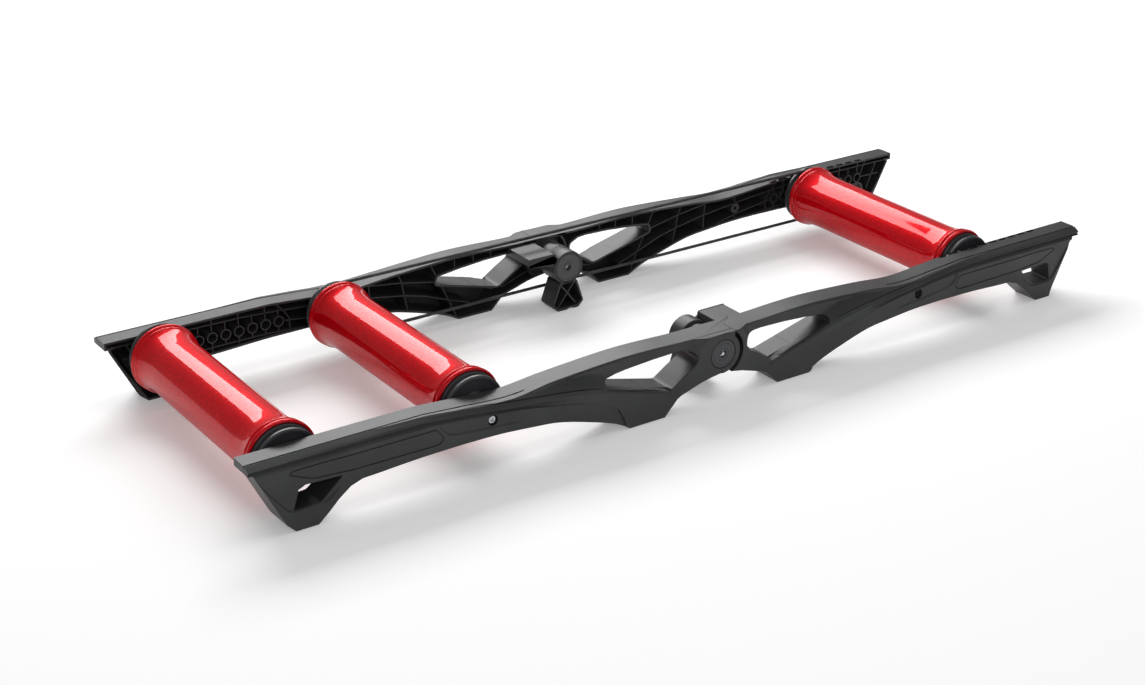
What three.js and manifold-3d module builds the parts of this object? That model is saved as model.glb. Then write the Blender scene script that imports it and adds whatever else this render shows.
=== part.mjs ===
// Folding bike rollers: three drums carried between two pairs of ribbed moulded rails that hinge in the middle.
// Millimetres, +Z up, +X towards the front drum. The origin is on the floor, under the middle of the hinge axis.
import * as THREE from 'three';
import { mergeVertices } from 'three/addons/utils/BufferGeometryUtils.js';
import Module from 'manifold-3d';

const wasm = await Module();
wasm.setup();

// Driving dimensions of the frame
const halfLength = 685;
const skinHalfWidth = 226;
const railDepth = 41;
const endHeight = 95;
const axleHeight = 66;
const hingeHeight = 65.5;

// Walls and clearances
const skin = 3;
const wall = 3;
const ribThickness = 2;
const ribRecess = 1.5;
const clearance = 0.3;
const overrun = 1;

// Drums, their axles and places along the rail
const drumRadius = 40.5;
const drumFlangeRadius = 46.9;
const drumHalfWidth = 165;
const drumWall = 3;
const flareLength = 34;
const flangeThickness = 8;
const beadWidth = 3.5;
const beadGap = 3;
const capSeatDepth = 7;
const capSeatRadius = 43.2;
const rearDrumPlace = 613.8;
const middleDrumPlace = 357;
const firstSocketPlace = 437.4;
const socketPitch = 19.6;
const socketCount = 10;
const frontDrumSocket = 3;
const frontDrumPlace = firstSocketPlace + frontDrumSocket * socketPitch;

// Axles, bearings, spacers and bolts
const axleRadius = 5;
const bearingRadius = 13;
const bearingWidth = 8;
const boreClearance = 0.1;
const spacerRadius = 7.5;
const bossRadius = 7.8;
const boltHeadRadius = 5;
const boltHeadHeight = 4;
const boltShankRadius = 2.8;
const boltGrip = 12;
const hexKeyRadius = 2.3;
const hexKeyDepth = 2.2;
const counterboreRadius = 5.8;
const counterboreDepth = 10;

// Belt and the groove that it runs in
const beltRadius = 2.3;
const beltPitchRadius = 40.3;
const beltOffset = 172;
const grooveTopHalfWidth = 4.1;
const grooveBottomHalfWidth = 1.7;
const grooveSlack = 0.9;
const capRimRadius = 42.4;
const capFace = 180;
const capPlug = 19;

// Rail section: how far the upper beam stands back, and the band stands proud
const beamSetback = 9;
const bandProud = 3.2;
const bandHeight = 10.5;
const stripFall = 0.595;
const stripEnd = 10.5;
const grooveWidth = 1.6;
const grooveDepth = 1;
const grooveInset = 18;

// End wall of each kind of rail: how far it is moved out at the open face and at the outer face
const endLean = { outer: [7, 6], inner: [8, -3] };
const endWallReach = 4.5;

// Hinge
const outerEarRadius = 28;
const innerEarRadius = 25.2;
const nestRadius = 34;
const knuckleFlat = 38;
const knuckleRadius = 55;
const earShare = 0.5;
const earGap = 0.6;
const tongueReach = 18.5;
const prongReach = 40;
const tonguePlate = 3.6;
const pinRadius = 8;
const pinNoseRadius = 3.9;
const pivotCapRadius = 20.2;
const pivotCapThickness = 3;
const hubRadius = 25;
const hubNeckRadius = 21.5;
const nearHubLength = 45;
const farHubLength = 57;
const hubNeckLength = 20;
const hubGroove = 2;
const hubDiscRadius = 21;
const hubDiscThickness = 5;
const hubDiscHole = 4.6;
const hubRoot = 3;

// Label plate and centre foot that the hub carries
const plateNear = 26;
const plateFar = 67;
const plateTop = 91;
const plateHeight = 12;
const plateWall = 2.6;
const footDepth = 32;
const footTopHalfWidth = 15;
const footFlareHalfWidth = 27;
const footFlareHeight = 9;
const footBaseHalfWidth = 18;
const footNotchHeight = 1.6;
const footWall = 2.6;

// Axle cover
const coverRecess = 1.6;
const coverThickness = 1.3;

// Hook scale pockets in the top of the front rails
const pocketLength = 9;
const pocketWidth = 2.2;
const pocketDepth = 1.6;

// Facets round a circle
const drumFacets = 24;
const capFacets = 16;
const smallFacets = 8;
const earFacets = 24;
const splineSteps = 2;

// Places across the rail, on the near side
const skinFace = -skinHalfWidth;
const openFace = skinFace + railDepth;
const beamFace = skinFace + beamSetback;
const bandFace = skinFace - bandProud;
const earSplit = beamFace + (openFace - beamFace) * earShare;

// Outline points as shares of the rail's half length and of its end height, hinge to tip
const topLineShares = [[0, 0.995], [0.09, 1], [0.175, 1.023], [0.25, 1.024], [0.383, 0.972],
  [0.482, 0.914], [0.584, 0.961], [0.657, 1]];
const ledgeLineShares = [[0.118, 0.333], [0.174, 0.475], [0.27, 0.66], [0.339, 0.763], [0.429, 0.836],
  [0.505, 0.893], [0.584, 0.955], [0.657, 1]];
const panelLineShares = [[0.227, 0], [0.24, 0.22], [0.256, 0.37], [0.315, 0.545], [0.429, 0.717], [0.505, 0.79],
  [0.584, 0.85], [0.657, 0.889]];
const beamUndersideShares = [[0.222, 0], [0.258, 0.127], [0.315, 0.261], [0.382, 0.388], [0.445, 0.437],
  [0.504, 0.472], [0.568, 0.484], [0.628, 0.482], [0.683, 0.474], [0.759, 0.447]];
const endLegShares = [[0.788, 0.44], [0.812, 0.385], [0.835, 0.265], [0.857, 0.12], [0.877, 0], [0.92, 0], [0.983, 0.889]];
const middleFootShares = [[0.14, 0]];
const footToeShares = [[0.115, 0.23]];
const neckUndersideShares = [[0.11, 0.21], [0.09, 0.253], [0.05, 0.341], [0.026, 0.374], [0, 0.4]];
const neckTopShares = [[0, 0.7], [0.06, 0.7], [0.067, 0.632], [0.096, 0.508], [0.123, 0.38], [0.13, 0.3]];
const windowShares = [[0.273, 0.775], [0.277, 0.663], [0.123, 0.38], [0.096, 0.508], [0.067, 0.632], [0.06, 0.72],
  [0.063, 0.79], [0.083, 0.86], [0.105, 0.869], [0.16, 0.858], [0.219, 0.823]];
const footWindowShares = [[0.918, 0.27], [0.869, 0.285], [0.826, 0.56], [0.9, 0.575], [0.909, 0.555]];
const coverShares = [[0.927, 0.76], [0.92, 0.81], [0.638, 0.81], [0.623, 0.66], [0.634, 0.58], [0.81, 0.595],
  [0.88, 0.62]];

// Where the sloped strip along the ledge starts: place along the rail and depth from the open face
const stripEven = 520;
const stripStarts = [[80, 43], [250, 39], [370, 36], [440, 31], [stripEven, 27], [halfLength, 27]];

// Ribs inside the rail: each is a chain of points, again as shares
const ribShares = [
  [[0.985, 0.69], [0.66, 0.69], [0.27, 0.775]],
  [[0.66, 0.69], [0.4, 0.57], [0.25, 0.36], [0.15, 0.02]],
  [[0.86, 0.98], [0.895, 0.6]],
  [[0.8, 0.98], [0.79, 0.42]],
  [[0.72, 0.98], [0.71, 0.44]],
  [[0.64, 0.98], [0.63, 0.46]],
  [[0.55, 0.94], [0.53, 0.46]],
  [[0.45, 0.93], [0.41, 0.42]],
  [[0.36, 0.97], [0.32, 0.25]],
  [[0.28, 1.02], [0.19, 0.02]],
  [[0.21, 1.02], [0.205, 0.82]],
  [[0.155, 1.01], [0.152, 0.85]],
  [[0.115, 0.34], [0.04, 0.52]],
];

// Finishes
const finishes = {
  rail: new THREE.MeshStandardMaterial({ color: 0x2f3031, roughness: 0.55, metalness: 0 }),
  cover: new THREE.MeshStandardMaterial({ color: 0x252627, roughness: 0.45, metalness: 0 }),
  drum: new THREE.MeshStandardMaterial({ color: 0xc4061a, roughness: 0.25, metalness: 0.3 }),
  cap: new THREE.MeshStandardMaterial({ color: 0x1d1f1f, roughness: 0.6, metalness: 0 }),
  steel: new THREE.MeshStandardMaterial({ color: 0xb9bcc0, roughness: 0.3, metalness: 1 }),
  belt: new THREE.MeshStandardMaterial({ color: 0x3a3d3c, roughness: 0.7, metalness: 0 }),
};

// A closed mesh as a solid that can be joined and cut
function toSolid(geometry) {
  const bare = geometry.clone();
  bare.deleteAttribute('normal');
  bare.deleteAttribute('uv');
  const merged = mergeVertices(bare);
  return new wasm.Manifold(new wasm.Mesh({
    numProp: 3,
    vertProperties: new Float32Array(merged.attributes.position.array),
    triVerts: new Uint32Array(merged.index.array),
  }));
}

// A solid back as a mesh geometry with flat facets
function toGeometry(solid) {
  const mesh = solid.getMesh();
  const geometry = new THREE.BufferGeometry();
  const stride = mesh.numProp;
  const positions = new Float32Array(mesh.vertProperties.length / stride * 3);
  for (let i = 0; i < positions.length / 3; i += 1) {
    positions.set(mesh.vertProperties.subarray(i * stride, i * stride + 3), i * 3);
  }
  geometry.setAttribute('position', new THREE.BufferAttribute(positions, 3));
  geometry.setIndex(new THREE.BufferAttribute(new Uint32Array(mesh.triVerts), 1));
  const flat = geometry.toNonIndexed();
  flat.computeVertexNormals();
  return flat;
}

// An outline in the XZ plane, extruded between two places across the rail
function slab(outline, from, to) {
  const geometry = new THREE.ExtrudeGeometry(new THREE.Shape(outline), { depth: to - from, bevelEnabled: false });
  geometry.rotateX(Math.PI / 2);
  geometry.translate(0, to, 0);
  return toSolid(geometry);
}

// An outline in the XY plane, extruded upwards
function plate(outline, bottom, top) {
  const geometry = new THREE.ExtrudeGeometry(new THREE.Shape(outline), { depth: top - bottom, bevelEnabled: false });
  geometry.translate(0, 0, bottom);
  return toSolid(geometry);
}

// A closed profile of [radius, place] pairs turned about an axis along Y
function turned(profile, facets, x, z) {
  const points = profile.map(([radius, place]) => new THREE.Vector2(radius, place));
  points.push(points[0].clone());
  const geometry = new THREE.LatheGeometry(points, facets);
  if (THREE.ShapeUtils.area(points) < 0) flipFaces(geometry);
  geometry.translate(x, 0, z);
  return geometry;
}

// Turns a mesh inside out
function flipFaces(geometry) {
  const index = geometry.index.array;
  for (let i = 0; i < index.length; i += 3) {
    [index[i], index[i + 1]] = [index[i + 1], index[i]];
  }
}

// A plain rod along Y
function rod(radius, from, to, x, z, facets = smallFacets) {
  const geometry = new THREE.CylinderGeometry(radius, radius, to - from, facets);
  geometry.translate(x, (from + to) / 2, z);
  return toSolid(geometry);
}

// Points of an outline from shares of the rail's length and height, on the side the rail runs to
function placed(shares, side) {
  return shares.map(([along, up]) => new THREE.Vector2(side * along * halfLength, up * endHeight));
}

// The same, smoothed by a spline through the points
function smooth(shares, side) {
  return new THREE.SplineCurve(placed(shares, side)).getPoints((shares.length - 1) * splineSteps);
}

// An outline moved inwards, each corner along its bisector; a negative distance moves it outwards
function inset(outline, distance) {
  const turn = Math.sign(THREE.ShapeUtils.area(outline));
  const count = outline.length;
  return outline.map((corner, i) => {
    const before = corner.clone().sub(outline[(i + count - 1) % count]).normalize();
    const after = outline[(i + 1) % count].clone().sub(corner).normalize();
    const normalBefore = new THREE.Vector2(-before.y, before.x).multiplyScalar(turn);
    const normalAfter = new THREE.Vector2(-after.y, after.x).multiplyScalar(turn);
    const bisector = normalBefore.clone().add(normalAfter);
    const reach = distance / Math.max(bisector.dot(normalBefore), wall / (wall + wall));
    return corner.clone().add(bisector.multiplyScalar(reach));
  });
}

// The tip of the rail: top corner, lip and the leg down to the floor
function tipPoints(side) {
  return [
    new THREE.Vector2(side * halfLength, endHeight),
    new THREE.Vector2(side * halfLength, endHeight - bandHeight),
    ...placed(endLegShares, side).reverse(),
  ];
}

// Whole silhouette of a rail half, from the hinge axis to the tip
function railOutline(side) {
  return [
    ...smooth(topLineShares, side),
    ...tipPoints(side),
    ...smooth(beamUndersideShares, side).reverse(),
    ...placed(middleFootShares, side),
    ...placed(neckUndersideShares, side),
  ];
}

// The outer layer: end beam, lower wing and middle foot
function wingOutline(side) {
  return [
    ...smooth(ledgeLineShares, side),
    ...tipPoints(side),
    ...smooth(beamUndersideShares, side).reverse(),
    ...placed(middleFootShares, side),
    ...placed(footToeShares, side),
  ];
}

// The strut from the middle foot up to the hinge, in the same plane as the outer layer
function neckOutline(side) {
  return [...placed(neckTopShares, side), ...placed(footToeShares, side), ...placed(neckUndersideShares, side)];
}

// Domed boss round the hinge, which brings the beam out to the strut's plane
function knuckle() {
  return toSolid(turned([
    [0, skinFace],
    [knuckleFlat, skinFace],
    [knuckleRadius, beamFace],
    [knuckleRadius, beamFace + skin],
    [0, beamFace + skin],
  ], earFacets, 0, hingeHeight));
}

// The proud band along the ledge, which widens into the middle foot
function bandOutline(side) {
  return [
    ...smooth(ledgeLineShares, side),
    new THREE.Vector2(side * halfLength, endHeight),
    new THREE.Vector2(side * halfLength, endHeight - bandHeight),
    ...smooth(panelLineShares, side).reverse(),
    ...placed(middleFootShares, side),
    ...placed(footToeShares, side),
  ];
}

// Depth at which the strip starts at a place along the rail
function stripStart(place) {
  const next = Math.max(stripStarts.findIndex(([from]) => from >= place), 1);
  const [from, depth] = stripStarts[next - 1];
  const [to, nextDepth] = stripStarts[next];
  return THREE.MathUtils.mapLinear(place, from, to, depth, nextDepth);
}

// Cut that slopes the strip along the ledge line, outwards and down; the hollow stays a wall's thickness under it
function stripCut(side, under) {
  const ledge = [
    ...smooth(ledgeLineShares, side),
    new THREE.Vector2(side * stripEven, endHeight),
    new THREE.Vector2(side * halfLength, endHeight),
  ];
  const outer = bandFace - overrun;
  const drop = under * Math.hypot(1, stripFall);
  const sections = ledge.map((point) => {
    const inner = openFace - stripStart(Math.abs(point.x));
    const reach = Math.abs(point.x) < halfLength ? 0 : side * overrun;
    return [
      [point.x + reach, inner, point.y - drop],
      [point.x + reach, inner, point.y + stripEnd],
      [point.x + reach, outer, point.y + stripEnd],
      [point.x + reach, outer, point.y - drop - (inner - outer) * stripFall],
    ];
  });
  const pieces = [];
  for (let i = 0; i + 1 < sections.length; i += 1) {
    pieces.push(wasm.Manifold.hull([...sections[i], ...sections[i + 1]]));
  }
  return wasm.Manifold.union(pieces);
}

// Leans the end wall of a rail, in proportion to the depth from the open face
function leanEndWall(rail, side, [atOpenFace, atSkin]) {
  const [foot, tip] = placed(endLegShares.slice(-2), 1);
  return rail.warp((vertex) => {
    const wallPlace = THREE.MathUtils.mapLinear(vertex[2], foot.y, tip.y, foot.x, tip.x);
    const gap = wallPlace - Math.abs(vertex[0]);
    if (vertex[2] > tip.y + wall + clearance || gap > endWallReach || gap < -clearance) return;
    vertex[0] += side * THREE.MathUtils.mapLinear(vertex[1], openFace, skinFace, atOpenFace, atSkin);
  });
}

// A rib that follows a chain of points, as a thin wall
function ribWall(chainShares, side, from) {
  const chain = placed(chainShares, side);
  const half = ribThickness / 2;
  const walls = [];
  for (let i = 0; i + 1 < chain.length; i += 1) {
    const along = chain[i + 1].clone().sub(chain[i]).normalize().multiplyScalar(half);
    const across = new THREE.Vector2(-along.y, along.x);
    const start = chain[i].clone().sub(along);
    const end = chain[i + 1].clone().add(along);
    walls.push(slab([
      start.clone().add(across),
      start.clone().sub(across),
      end.clone().sub(across),
      end.clone().add(across),
    ], from, openFace - ribRecess));
  }
  return wasm.Manifold.union(walls);
}

// Sockets for the axles: bosses joined by the long rib, with a bolt hole where an axle can be fastened
function socketPlaces() {
  const places = [middleDrumPlace];
  for (let i = 0; i < socketCount; i += 1) places.push(firstSocketPlace + i * socketPitch);
  return places;
}

function railSolid(side, kind, boltPlaces, hasPockets, hubLength) {
  const outline = railOutline(side);
  const wing = wingOutline(side);
  const window = placed(windowShares, side);
  const footWindow = placed(footWindowShares, side);
  const windows = (grow, from, to) => wasm.Manifold.union([
    slab(inset(window, -grow), from, to),
    slab(inset(footWindow, -grow), from, to),
  ]);
  const beyond = bandFace - overrun;
  const past = openFace + overrun;

  // Envelope of the three layers, with both windows cut through
  const envelope = wasm.Manifold.union([
    slab(outline, beamFace, openFace),
    slab(wing, skinFace, openFace),
    slab(neckOutline(side), skinFace, openFace),
    knuckle().intersect(slab(outline, skinFace, openFace)),
    slab(bandOutline(side), bandFace, skinFace + skin),
  ]).subtract(windows(0, beyond, past));

  // Hollow, open towards the middle of the rollers
  const solidHinge = rod(nestRadius + wall, beyond, past, 0, hingeHeight, earFacets);
  const hollow = wasm.Manifold.union([
    slab(inset(outline, wall), beamFace + skin, past),
    slab(inset(wing, wall), skinFace + skin, past),
  ]).subtract(windows(wall, beyond, past)).subtract(solidHinge).subtract(stripCut(side, wall));

  // Ribs and bosses stay inside the envelope
  const ribs = ribShares.map((chain) => ribWall(chain, side, skinFace + skin / 2));
  const bosses = socketPlaces().map((u) => rod(bossRadius, skinFace + skin / 2, openFace, side * u, axleHeight));
  let rail = envelope.subtract(hollow).add(wasm.Manifold.union([...ribs, ...bosses]).intersect(envelope));

  // Bolt holes and the recess for the axle cover
  for (const u of boltPlaces) {
    rail = rail.subtract(rod(boltShankRadius + clearance, beyond, past, side * u, axleHeight));
    rail = rail.subtract(rod(counterboreRadius, beyond, skinFace + counterboreDepth, side * u, axleHeight));
  }
  rail = rail.subtract(slab(placed(coverShares, side), beyond, skinFace + coverRecess));

  // Line groove along the walking strip
  const grooveFrom = bandFace + grooveInset;
  rail = rail.subtract(plate([
    new THREE.Vector2(side * firstSocketPlace, grooveFrom),
    new THREE.Vector2(side * firstSocketPlace, grooveFrom + grooveWidth),
    new THREE.Vector2(side * (halfLength + overrun), grooveFrom + grooveWidth),
    new THREE.Vector2(side * (halfLength + overrun), grooveFrom),
  ], endHeight - grooveDepth, endHeight + overrun));
  if (hasPockets) rail = rail.subtract(scalePockets(side));
  rail = leanEndWall(rail.subtract(stripCut(side, 0)), side, endLean[kind]);
  return kind === 'outer' ? outerEar(rail, side) : innerEar(rail, side, openFace + hubLength);
}

// Row of marks beside the sockets, in the inner edge of the top
function scalePockets(side) {
  const marks = [];
  for (let i = 0; i < socketCount; i += 1) {
    const u = firstSocketPlace + i * socketPitch;
    const near = side * (u - pocketLength / 2);
    const far = side * (u + pocketLength / 2);
    marks.push(plate([
      new THREE.Vector2(near, openFace - pocketWidth),
      new THREE.Vector2(near, openFace + overrun),
      new THREE.Vector2(far, openFace + overrun),
      new THREE.Vector2(far, openFace - pocketWidth),
    ], endHeight - pocketDepth, endHeight + overrun));
  }
  return wasm.Manifold.union(marks);
}

// Plan of the tongue that reaches over the other half's ear, grown by a gap
function tonguePlan(side, grow, from) {
  const over = grow > 0 ? overrun : 0;
  const slant = (prongReach - tongueReach) / (openFace - earSplit);
  return [
    new THREE.Vector2(side * from, beamFace - over),
    new THREE.Vector2(-side * (tongueReach + grow), beamFace - over),
    new THREE.Vector2(-side * (tongueReach + grow), earSplit),
    new THREE.Vector2(-side * (prongReach + grow + over * slant), openFace + over),
    new THREE.Vector2(side * from, openFace + over),
  ];
}

// Ear on the outside: the inner half of the rail is cut round the other rail's ear
function outerEar(rail, side) {
  const innerFrom = earSplit - earGap / 2;
  const underTongue = endHeight - tonguePlate;
  let ear = rail.subtract(rod(nestRadius, innerFrom, openFace + overrun, 0, hingeHeight, earFacets));
  ear = ear.add(rod(outerEarRadius, skinFace, innerFrom, 0, hingeHeight, earFacets));
  ear = ear.add(slab([
    new THREE.Vector2(0, hingeHeight + outerEarRadius * earShare),
    new THREE.Vector2(-side * tongueReach, hingeHeight + outerEarRadius * earShare),
    new THREE.Vector2(-side * tongueReach, endHeight),
    new THREE.Vector2(0, endHeight),
  ], beamFace, innerFrom));
  ear = ear.add(plate(tonguePlan(side, 0, nestRadius + wall), underTongue, endHeight));
  ear = ear.subtract(rod(pinRadius + clearance, bandFace, openFace, 0, hingeHeight, capFacets));
  return ear.subtract(rod(pivotCapRadius + clearance, bandFace, skinFace + pivotCapThickness, 0, hingeHeight,
    earFacets));
}

// Ear on the inside, with the long hub, the label plate and the centre foot
function innerEar(rail, side, hubFace) {
  const innerFrom = earSplit + earGap / 2;
  const underTongue = endHeight - tonguePlate - earGap;
  let ear = rail.subtract(rod(nestRadius, bandFace, innerFrom, 0, hingeHeight, earFacets));
  ear = ear.subtract(plate(tonguePlan(-side, earGap, overrun), underTongue, endHeight * 2));
  ear = ear.subtract(slab([
    new THREE.Vector2(-side * overrun, hingeHeight),
    new THREE.Vector2(side * (tongueReach + earGap), hingeHeight),
    new THREE.Vector2(side * (tongueReach + earGap), endHeight * 2),
    new THREE.Vector2(-side * overrun, endHeight * 2),
  ], bandFace, innerFrom));
  ear = ear.add(rod(innerEarRadius, innerFrom, openFace, 0, hingeHeight, earFacets));
  ear = ear.add(hubSolid(hubFace));
  ear = ear.add(labelPlate(side, hubFace));
  ear = ear.add(centreFoot(hubFace));
  ear = ear.subtract(rod(pinRadius + clearance, bandFace, hubFace, 0, hingeHeight, capFacets));
  return ear.subtract(rod(hubDiscRadius + clearance, hubFace - hubDiscThickness, hubFace + overrun, 0, hingeHeight,
    earFacets));
}

function hubSolid(hubFace) {
  const neckEnd = openFace + hubNeckLength;
  return toSolid(turned([
    [0, openFace - hubRoot],
    [hubNeckRadius, openFace - hubRoot],
    [hubNeckRadius, neckEnd - hubGroove],
    [hubNeckRadius - hubGroove, neckEnd],
    [hubRadius, neckEnd + hubGroove],
    [hubRadius, hubFace],
    [0, hubFace],
  ], earFacets, 0, hingeHeight));
}

// Shallow box beside the hub, open underneath
function labelPlate(side, hubFace) {
  const near = side * plateNear;
  const far = side * plateFar;
  const bottom = plateTop - plateHeight;
  const box = (shrink, from, to, low) => slab([
    new THREE.Vector2(near + side * shrink, low),
    new THREE.Vector2(far - side * shrink, low),
    new THREE.Vector2(far - side * shrink, plateTop - shrink),
    new THREE.Vector2(near + side * shrink, plateTop - shrink),
  ], from, to);
  const shell = box(0, openFace - hubRoot, hubFace - hubGroove, bottom)
    .subtract(box(plateWall, openFace - hubRoot - overrun, hubFace - hubGroove - plateWall, bottom - overrun));
  // Curved rib from the plate's far corner back to the hub
  const root = hingeHeight + hubNeckRadius / 2;
  const rib = slab([
    new THREE.Vector2(side * hubNeckRadius / 2, root - plateWall),
    new THREE.Vector2(side * plateNear, bottom - plateWall),
    new THREE.Vector2(far, bottom),
    new THREE.Vector2(far, bottom + plateWall),
    new THREE.Vector2(near, plateTop - plateWall),
    new THREE.Vector2(side * hubNeckRadius / 2, root + plateWall),
  ], hubFace - hubGroove - plateWall, hubFace - hubGroove);
  return shell.add(rib);
}

// Flared box foot under the hub, open and cross ribbed towards the middle of the rollers
function centreFoot(hubFace) {
  const back = hubFace - footDepth;
  const root = hingeHeight - hubNeckRadius;
  const outline = [
    new THREE.Vector2(-footTopHalfWidth, root),
    new THREE.Vector2(-footFlareHalfWidth, footFlareHeight),
    new THREE.Vector2(-footBaseHalfWidth, 0),
    new THREE.Vector2(-footBaseHalfWidth + footFlareHeight, 0),
    new THREE.Vector2(-footBaseHalfWidth + footFlareHeight + footNotchHeight, footNotchHeight),
    new THREE.Vector2(0, footNotchHeight),
    new THREE.Vector2(footNotchHeight, 0),
    new THREE.Vector2(footBaseHalfWidth, 0),
    new THREE.Vector2(footFlareHalfWidth, footFlareHeight),
    new THREE.Vector2(footTopHalfWidth, root),
  ];
  const cavity = [
    new THREE.Vector2(-footTopHalfWidth + footWall, root - footWall),
    new THREE.Vector2(-footFlareHalfWidth + footWall, footFlareHeight + footWall / 2),
    new THREE.Vector2(-footBaseHalfWidth + footWall / 2, footWall + footNotchHeight),
    new THREE.Vector2(footBaseHalfWidth - footWall / 2, footWall + footNotchHeight),
    new THREE.Vector2(footFlareHalfWidth - footWall, footFlareHeight + footWall / 2),
    new THREE.Vector2(footTopHalfWidth - footWall, root - footWall),
  ];
  const half = footWall / 2;
  const cross = (turn) => slab([
    new THREE.Vector2(-turn * (footTopHalfWidth - half), root + half),
    new THREE.Vector2(-turn * (footTopHalfWidth + half), root - half),
    new THREE.Vector2(turn * (footBaseHalfWidth - half), half),
    new THREE.Vector2(turn * (footBaseHalfWidth + half), half + footWall),
  ], back + footWall, hubFace - footWall);
  const shell = slab(outline, back, hubFace).subtract(slab(cavity, back + footWall, hubFace + overrun));
  return wasm.Manifold.union([shell, cross(1), cross(-1)]);
}

// Drum shell, turned, with a concave flare, a bead and a round flange at each end
function drumGeometry(x) {
  const end = drumHalfWidth;
  const half = [
    [drumRadius, end - flangeThickness - beadWidth - beadGap - flareLength],
    [drumRadius + (drumFlangeRadius - drumRadius) * 0.16, end - flangeThickness - beadWidth - flareLength / 2],
    [drumRadius + (drumFlangeRadius - drumRadius) * 0.6, end - flangeThickness - beadWidth - beadGap],
    [drumFlangeRadius - beadGap / 3, end - flangeThickness - beadWidth / 2],
    [drumFlangeRadius - beadGap, end - flangeThickness],
    [drumFlangeRadius, end - flangeThickness / 2],
    [drumFlangeRadius - beadGap / 2, end],
    [capSeatRadius, end],
    [capSeatRadius, end - capSeatDepth],
    [drumRadius - drumWall, end - capSeatDepth],
  ];
  const mirrored = half.map(([radius, place]) => [radius, -place]).reverse();
  return turned([...half, ...mirrored], drumFacets, x, axleHeight);
}

// End cap: plug in the drum, belt groove and bearing seat; end is 1 on the far side and -1 on the near side
function capGeometry(x, end) {
  const seat = drumHalfWidth - capSeatDepth + clearance;
  const bottom = beltPitchRadius - beltRadius - grooveSlack;
  const plug = drumRadius - drumWall - clearance * 2;
  const rim = capSeatRadius - clearance * 2;
  const bearingSeat = capFace - bearingWidth - clearance;
  const profile = [
    [pinRadius, drumHalfWidth - capPlug],
    [plug, drumHalfWidth - capPlug],
    [plug, seat],
    [rim, seat],
    [rim, beltOffset - grooveTopHalfWidth],
    [bottom, beltOffset - grooveBottomHalfWidth],
    [bottom, beltOffset + grooveBottomHalfWidth],
    [capRimRadius, beltOffset + grooveTopHalfWidth],
    [capRimRadius, capFace],
    [bearingRadius + clearance, capFace],
    [bearingRadius + clearance, bearingSeat],
    [pinRadius, bearingSeat],
  ];
  return turned(profile.map(([radius, place]) => [radius, end * place]), capFacets, x, axleHeight);
}

function ringGeometry(outer, inner, from, to, x, end) {
  return turned([[inner, end * from], [outer, end * from], [outer, end * to], [inner, end * to]], smallFacets, x,
    axleHeight);
}

// Axle with a tapped blind hole in each end
function axleSolid(x) {
  const end = -openFace - clearance;
  const tapped = boltShankRadius + clearance;
  const solid = rod(axleRadius, -end, end, x, axleHeight);
  return solid.subtract(rod(tapped, end - boltGrip - overrun, end + overrun, x, axleHeight))
    .subtract(rod(tapped, -end - overrun, -end + boltGrip + overrun, x, axleHeight));
}

// Socket head bolt that goes in from the rail's outer face
function boltSolid(x, end) {
  const seat = skinHalfWidth - counterboreDepth - clearance;
  const tip = -openFace - boltGrip;
  const head = turned([
    [0, end * tip],
    [boltShankRadius, end * tip],
    [boltShankRadius, end * (seat + clearance * 2)],
    [boltHeadRadius, end * (seat + clearance * 2)],
    [boltHeadRadius, end * (seat + boltHeadHeight)],
    [0, end * (seat + boltHeadHeight)],
  ], smallFacets, x, axleHeight);
  const top = seat + boltHeadHeight;
  const key = turned([
    [0, end * (top - hexKeyDepth)],
    [hexKeyRadius, end * (top - hexKeyDepth)],
    [hexKeyRadius, end * (top + overrun)],
    [0, end * (top + overrun)],
  ], 6, x, axleHeight);
  return toSolid(head).subtract(toSolid(key));
}

// Closed loop of the drive belt round the caps of the middle and the front drum
function beltGeometry() {
  const arcSteps = 12;
  const ringPoints = 6;
  const path = [];
  for (let i = 0; i <= arcSteps; i += 1) {
    const angle = -Math.PI / 2 + Math.PI * i / arcSteps;
    path.push({ x: frontDrumPlace, angle });
  }
  for (let i = 0; i <= arcSteps; i += 1) {
    const angle = Math.PI / 2 + Math.PI * i / arcSteps;
    path.push({ x: -middleDrumPlace, angle });
  }
  const positions = [];
  for (const { x, angle } of path) {
    for (let k = 0; k < ringPoints; k += 1) {
      const turn = 2 * Math.PI * k / ringPoints;
      const radius = beltPitchRadius + beltRadius * Math.cos(turn);
      positions.push(
        x + radius * Math.cos(angle),
        beltOffset + beltRadius * Math.sin(turn),
        axleHeight + radius * Math.sin(angle),
      );
    }
  }
  const faces = [];
  const rings = path.length;
  for (let i = 0; i < rings; i += 1) {
    for (let k = 0; k < ringPoints; k += 1) {
      const a = i * ringPoints + k;
      const b = i * ringPoints + (k + 1) % ringPoints;
      const c = ((i + 1) % rings) * ringPoints + k;
      const d = ((i + 1) % rings) * ringPoints + (k + 1) % ringPoints;
      faces.push(a, b, c, b, d, c);
    }
  }
  const geometry = new THREE.BufferGeometry();
  geometry.setAttribute('position', new THREE.Float32BufferAttribute(positions, 3));
  geometry.setIndex(faces);
  return geometry;
}

// Steel pin of the hinge: its nose shows through the pivot cap
function pinSolid(hubFace) {
  const shoulder = skinFace + pivotCapThickness + clearance;
  return toSolid(turned([
    [0, skinFace],
    [pinNoseRadius, skinFace],
    [pinNoseRadius, shoulder],
    [pinRadius, shoulder],
    [pinRadius, hubFace - hubDiscThickness - clearance],
    [0, hubFace - hubDiscThickness - clearance],
  ], capFacets, 0, hingeHeight));
}

function pivotCapSolid() {
  return toSolid(turned([
    [pinNoseRadius + clearance, skinFace],
    [pivotCapRadius, skinFace],
    [pivotCapRadius, skinFace + pivotCapThickness - clearance],
    [pinNoseRadius + clearance, skinFace + pivotCapThickness - clearance],
  ], earFacets, 0, hingeHeight));
}

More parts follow.
